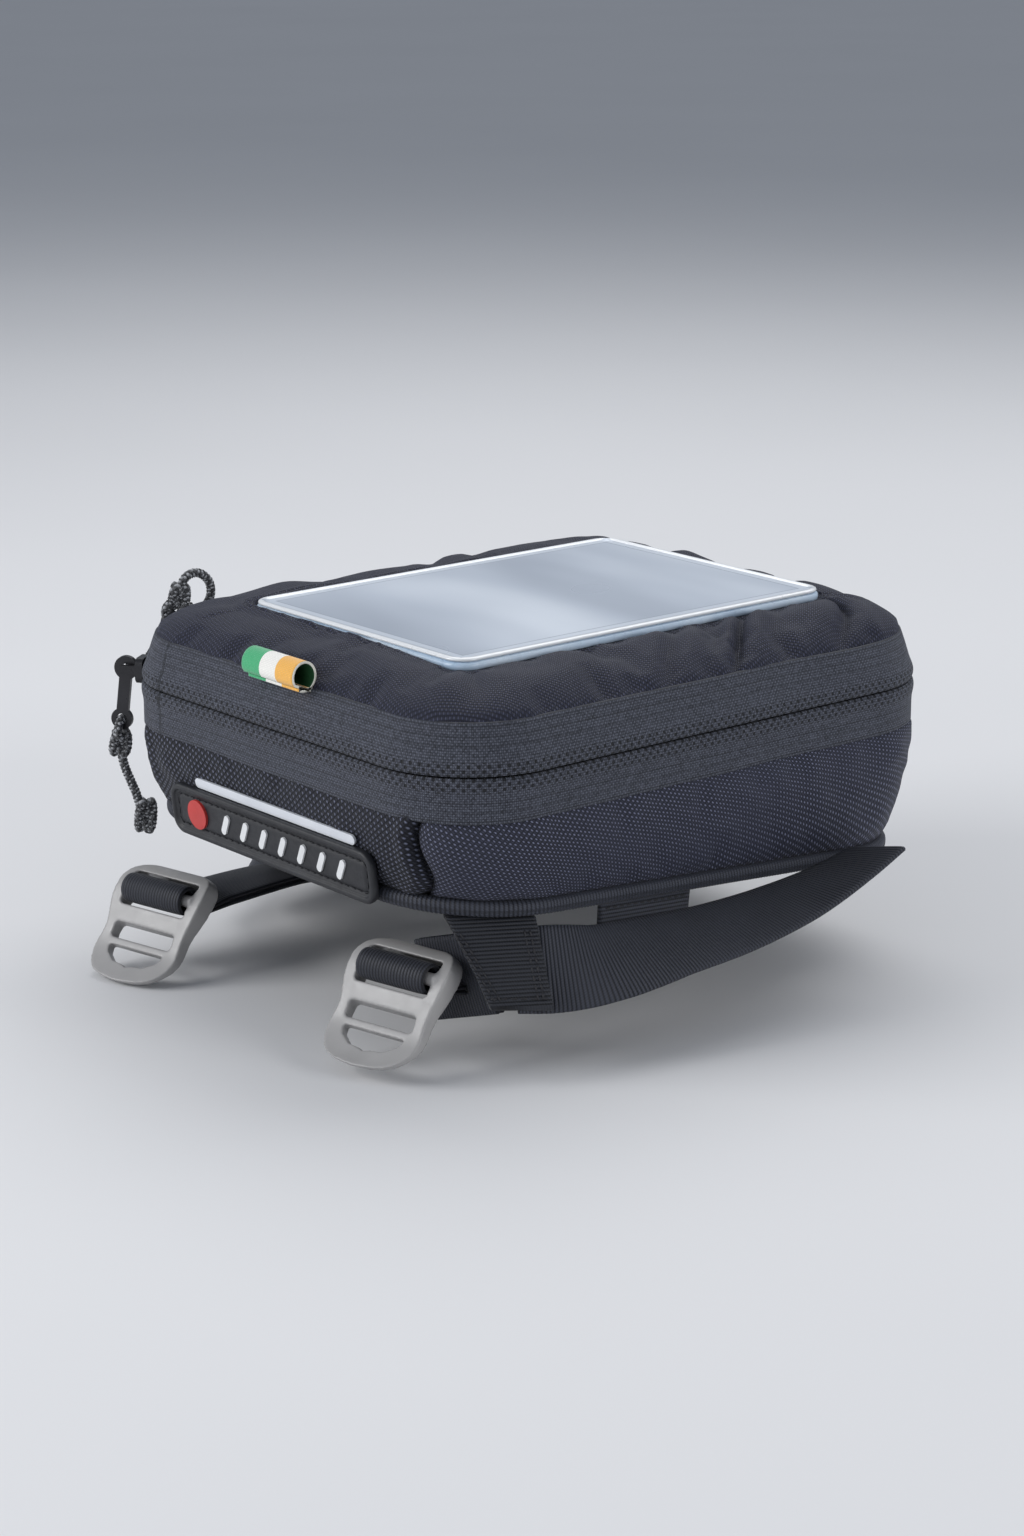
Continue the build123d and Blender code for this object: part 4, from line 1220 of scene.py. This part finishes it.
def make_patch():
    place, out = plane_place(PATCH_AT, (1, 0, 0), PATCH_OUT)
    pillow("patch_plate", (99, 16, 5), PATCH_ROWS, place, "rubber", "case", "rubber_patch", step=2.2)
    x, y, _, _ = perimeter(np.linspace(0, 8, 400), 99 - 6.5, 16 - 6.5, 1.9)
    line = place(x, y, np.full_like(x, 1.55))
    stitch_run("patch_stitches", [line], out, "case", pitch=3.1, length=2.3, radius=0.26)


def quad_cloth(name, corners, place, thick, material, node, puff):
    """A four-sided piece of webbing, puffed a little and rounded at its edges."""
    a, b, c, d = (np.array(corner, float) for corner in corners)
    F, G = np.meshgrid(np.linspace(0, 1, 28), np.linspace(0, 1, 26))
    f, g = F[..., None], G[..., None]
    flat = d * (1 - f) * (1 - g) + c * f * (1 - g) + b * f * g + a * (1 - f) * g
    rise = thick + puff * np.sin(math.pi * F) ** 0.5 * np.sin(math.pi * G) ** 0.5
    points = place(flat[..., 0], flat[..., 1], rise) * MM
    slab(name, points, flat * MM, (thick - 0.1) * MM, material, "case", node)


ANCHOR_LEAN = math.radians(52)
# origin, way of the front edge, outward way, and the top edge's height at its two ends
ANCHORS = {
    "right": ((67.5, -86.6, 0.2), (0.5, 0.866, 0), (0.735, -0.424, 0.53), (6.2, 4.2)),
    "left": ((-74, -62, 0.4), (0, 1, -0.08), (math.sin(ANCHOR_LEAN), 0, math.cos(ANCHOR_LEAN)), (3.4, 3.4)),
}


def make_anchors():
    for side, (origin, x_way, out, (near, far)) in ANCHORS.items():
        place, normal = plane_place(origin, x_way, out)
        corners = [(-0.5, near), (25.0, far), (27.5, -21.5), (10, -20.5)]
        quad_cloth(f"anchor_webbing_{side}", corners, place, 3.0, "anchor", f"anchor_{side}", 0.4)
        seams = []
        for inset in (1.3, 2.9):
            seams.append(((0.2 + inset, 10 + inset), (1.0, -19.5)))
            seams.append(((24.2 - inset, 26.3 - inset), (1.0, -19.8)))
        seams.append(((9.5, 26.5), (-18.4, -19.2)))
        rows = [place(x, y, (3.35, 3.3)) for x, y in seams]
        stitch_run(f"anchor_stitches_{side}", rows, normal, "case", pitch=2.5, length=1.9, radius=0.3)


def make_mid_tabs():
    for side, sign in (("right", 1), ("left", -1)):
        place, normal = plane_place((sign * 76, -21, 1.6), (0, sign, -sign * SLOPE), (sign, 0, 0))
        corners = [(-17.5, 1.0), (17.5, 1.0), (17.2, -8.4), (-17.2, -8.4)]
        quad_cloth(f"side_tab_{side}", corners, place, 1.6, "webbing", f"mid_tab_{side}", 0.15)
        rows = [place((-16, 16), (y, y), (height, height)) for y, height in ((-7.1, 1.72), (-1.6, 1.78))]
        stitch_run(f"side_tab_stitches_{side}", rows, normal, "case")


# ------------------------------------------------------------------ ribbon
RIBBON_START = -7.5


def make_ribbon():
    angle = np.radians(np.linspace(215, -118, 40))
    y = np.concatenate([[-94.6, -95.3, -97.0], -97.5 + 3.55 * np.sin(angle), [-94.2]])
    z = np.concatenate([[63.2, 63.6, 63.75], 67.75 + 3.85 * np.cos(angle), [63.4]])
    X, Y = np.meshgrid(np.linspace(RIBBON_START, RIBBON_START + RIBBON_WIDTH, 30), y)
    Z, V = (np.broadcast_to(values[:, None], X.shape) for values in (z, marks_along(joined(y, z))))
    maps = joined((X - RIBBON_START) / RIBBON_WIDTH, V * MM)
    piece = slab("ribbon_tag", joined(X, Y, Z) * MM, maps, 0.75 * MM, "ribbon", "lid", "ribbon_loop")
    piece.data.materials.append(materials["ribbon_inside"])
    piece.data.materials.append(materials["ribbon_edge"])
    # the faces inside the loop come first, then those outside it; the two ends have many sides
    inner_faces = (len(y) + 1) * (X.shape[1] - 1)
    # painted shade: the faces inside the loop get the dark green inside material
    for polygon in piece.data.polygons:
        if len(polygon.vertices) > 4:
            polygon.material_index = 2
        elif polygon.index < inner_faces:
            polygon.material_index = 1


# ------------------------------------------------------------------ cords and knots
CORD_RADIUS = 1.4
LOOP_CORD_RADIUS = 1.3
KNOT_CORD_RADIUS = 1.35
STRAND_PITCH = 2.3
AROUND = 26


def route_points(route):
    """The smooth line of a NURBS curve whose control points are the route's, in metres."""
    data = bpy.data.curves.new("route", "CURVE")
    data.dimensions = "3D"
    spline = data.splines.new("NURBS")
    spline.points.add(len(route) - 1)
    for point, place in zip(spline.points, route):
        point.co = (*place, 1.0)
    spline.order_u = 3
    spline.use_endpoint_u = True
    spline.resolution_u = 24
    holder = add_object("route", data)
    bpy.context.view_layer.update()
    mesh = bpy.data.meshes.new_from_object(holder)
    line = np.array([v.co for v in mesh.vertices], float)
    bpy.data.objects.remove(holder)
    bpy.data.meshes.remove(mesh)
    return line


def even_line(line, step, closed):
    """A line sampled at even steps, its marks and its length, in metres."""
    if closed:
        line = np.vstack([line, line[:1]])
    marks = marks_along(line)
    at = np.linspace(0, marks[-1], max(8, round(marks[-1] / step)) + 1)
    if closed:
        at = at[:-1]
    return interpolate(at, marks, line), at, marks[-1]


def braid_tube(name, line, radius, body, node, closed=False):
    """A braided cord along a line: strands lift its surface, and the map counts them."""
    line, at, length = even_line(line, 0.16 * MM, closed)
    travel = unit(np.roll(line, -1, 0) - np.roll(line, 1, 0) if closed else np.gradient(line, axis=0))
    side = np.cross(travel[0], (0.31, 0.52, 0.79))
    sides = []
    for way in travel:
        side = unit(side - way * side.dot(way))
        sides.append(side)
    sides = np.array(sides)
    ups = np.cross(travel, sides)
    angle = np.linspace(0, 2 * math.pi, AROUND, endpoint=False)
    turns = length / (STRAND_PITCH * MM)
    if closed:
        turns = max(1, round(turns))
    U, V = np.meshgrid(4 * angle / (2 * math.pi), at / length * turns * 2)
    lump = np.abs(np.sin(math.pi * (U + V))) * np.abs(np.sin(math.pi * (U - V)))
    reach = (radius * MM * (0.86 + 0.22 * lump ** 0.6))[..., None]
    points = (line[:, None] + sides[:, None] * (np.cos(angle)[None, :, None] * reach)
              + ups[:, None] * (np.sin(angle)[None, :, None] * reach))
    if closed:
        faces = lattice_faces(len(line), AROUND, wrap_rows=True, wrap_columns=True)
    else:
        faces = tube_faces(len(line), AROUND, flipped=True)
    return add_mesh(name, points, faces, joined(U, V), "cord", body, node)


def make_knot(name, node, centre, half_height, body, turn):
    """An overhand knot pulled up tight: a closed trefoil of cord."""
    t = np.linspace(0, 2 * math.pi, 240, endpoint=False) + turn
    x = 0.86 * (np.sin(t) + 2 * np.sin(2 * t))
    y = 0.86 * (np.cos(t) - 2 * np.cos(2 * t))
    z = -(half_height - 1.5) * np.sin(3 * t)
    line = (np.array(centre) + joined(x, y, z)) * MM
    return braid_tube(name, line, KNOT_CORD_RADIUS, body, node, closed=True)


def make_loop(name, node, eye, run, hang, body):
    """The ring of cord through the pull's eye."""
    t = np.linspace(0, 2 * math.pi, 160, endpoint=False)[:, None]
    line = eye + hang * 3.0 + 3.0 * (np.cos(t) * -hang + np.sin(t) * run)
    braid_tube(name, line * MM, LOOP_CORD_RADIUS, body, node, closed=True)


# the middle of each pull's cord, in metres, and its length from knot to knot
FRONT_ROUTE = [(-0.0886, -0.0915, 0.0280), (-0.0883, -0.0913, 0.0200), (-0.0866, -0.0896, 0.0135),
               (-0.0848, -0.0876, 0.0070), (-0.0836, -0.0862, -0.0025)]
REAR_ROUTE = [(-0.0922, -0.0666, 0.0650), (-0.0918, -0.0648, 0.0730), (-0.0912, -0.0586, 0.0748),
              (-0.0908, -0.0538, 0.0702), (-0.0914, -0.0544, 0.0634), (-0.0926, -0.0588, 0.0602)]


def make_pull(end, eye, axis, hang, tie_turn, last_at, last_half_height, last_turn, route):
    """What hangs in a pull's eye: ring of cord, tie knot, the cord itself and its end knot."""
    body = f"pull_{end}"
    make_loop(f"loop_braid_{end}", f"cord_loop_{end}", eye, axis, hang, body)
    make_knot(f"tie_knot_{end}", f"knot_{end}", eye + hang * 8.0, 4.6, body, tie_turn)
    last = make_knot(f"tail_knot_{end}", f"end_knot_{end}", last_at, last_half_height, body, last_turn)
    line = route_points(route)
    piece = braid_tube(f"pull_braid_{end}", line, CORD_RADIUS, body, f"pull_cord_{end}")


def make_front_pull():
    angle = math.radians(35)
    outward = np.array([-math.cos(angle), -math.sin(angle), 0])
    along = np.array([math.sin(angle), -math.cos(angle), 0])
    hang = unit(outward * 0.12 + np.array([0, 0, -1.0]))
    seat = np.array([-53.5, -67.0, ZIP_Z]) + outward * 32.9
    eye = seat + outward * 6.8 + hang * 16.5
    make_pull("front", eye, along, hang, 0.4, (-83.5, -86.2, 1.7), 5.8, 1.1, FRONT_ROUTE)


def make_rear_pull():
    hang = unit((0.04, 0.45, 0.89))
    axis = unit((0, 0.89, -0.45))
    eye = np.array([-92.9, -74.5, ZIP_Z]) + hang * 12.0
    make_pull("rear", eye, axis, hang, 0.9, (-92.8, -59.6, 59.6), 4.6, 0.2, REAR_ROUTE)


# ------------------------------------------------------------------ hard parts kept from the CAD
SHARP = math.radians(38)


def paint(node, material):
    """A kept CAD node gets its material."""
    part = nodes[node]
    part.data.materials.clear()
    part.data.materials.append(materials[material])
    part.data.polygons.foreach_set("use_smooth", [True] * len(part.data.polygons))
    return part


def melt(part):
    """Rounds a moulded part all over."""
    part.modifiers.new("join", "WELD").merge_threshold = 0.01 * MM
    skin = part.modifiers.new("skin", "REMESH")
    skin.mode = "VOXEL"
    skin.voxel_size = 0.42 * MM
    skin.use_smooth_shade = True
    rounding = part.modifiers.new("rounding", "SMOOTH")
    rounding.factor = 0.5
    rounding.iterations = 5


def soften(part, width):
    """Bevels a hard part's edges."""
    edges = part.modifiers.new("soft_edges", "BEVEL")
    edges.width = width * MM
    edges.segments = 3
    edges.limit_method = "ANGLE"
    edges.angle_limit = SHARP
    edges.harden_normals = True


def make_hard_parts():
    for node in ("buckle_left", "buckle_right"):
        melt(paint(node, "buckle"))
    for node in ("slider_front", "slider_rear", "pull_tab_front", "pull_tab_rear"):
        soften(paint(node, "metal"), 0.25)
    soften(paint("patch_emblem", "red"), 0.15)
    soften(paint("patch_bars", "white"), 0.15)
    soften(paint("reflective_strip", "reflective"), 0.1)


materials = make_materials()
make_camera()
make_lights()
make_world()
make_floor()
make_front_pull()
make_rear_pull()
make_walls()
make_tape("lower_tape", "lower_zip_tape", "case", WALL_Z, TAPE_GAP[0], 0.0)
make_tape("upper_tape", "upper_zip_tape", "lid", TAPE_GAP[1], SEAM_Z, UPPER_TAPE_LEAN)
make_coil("lower_coil", "lower_zip_coil", "case", COIL_Z[0])
make_coil("upper_coil", "upper_zip_coil", "lid", COIL_Z[1])
make_lid()
make_binding()
make_tails()
make_seam_tapes()
make_fold()
make_buckle_strap("right")
make_buckle_strap("left")
make_base()
make_window()
make_pocket()
make_liner()
make_hinge()
make_patch()
make_anchors()
make_mid_tabs()
make_ribbon()
make_hard_parts()
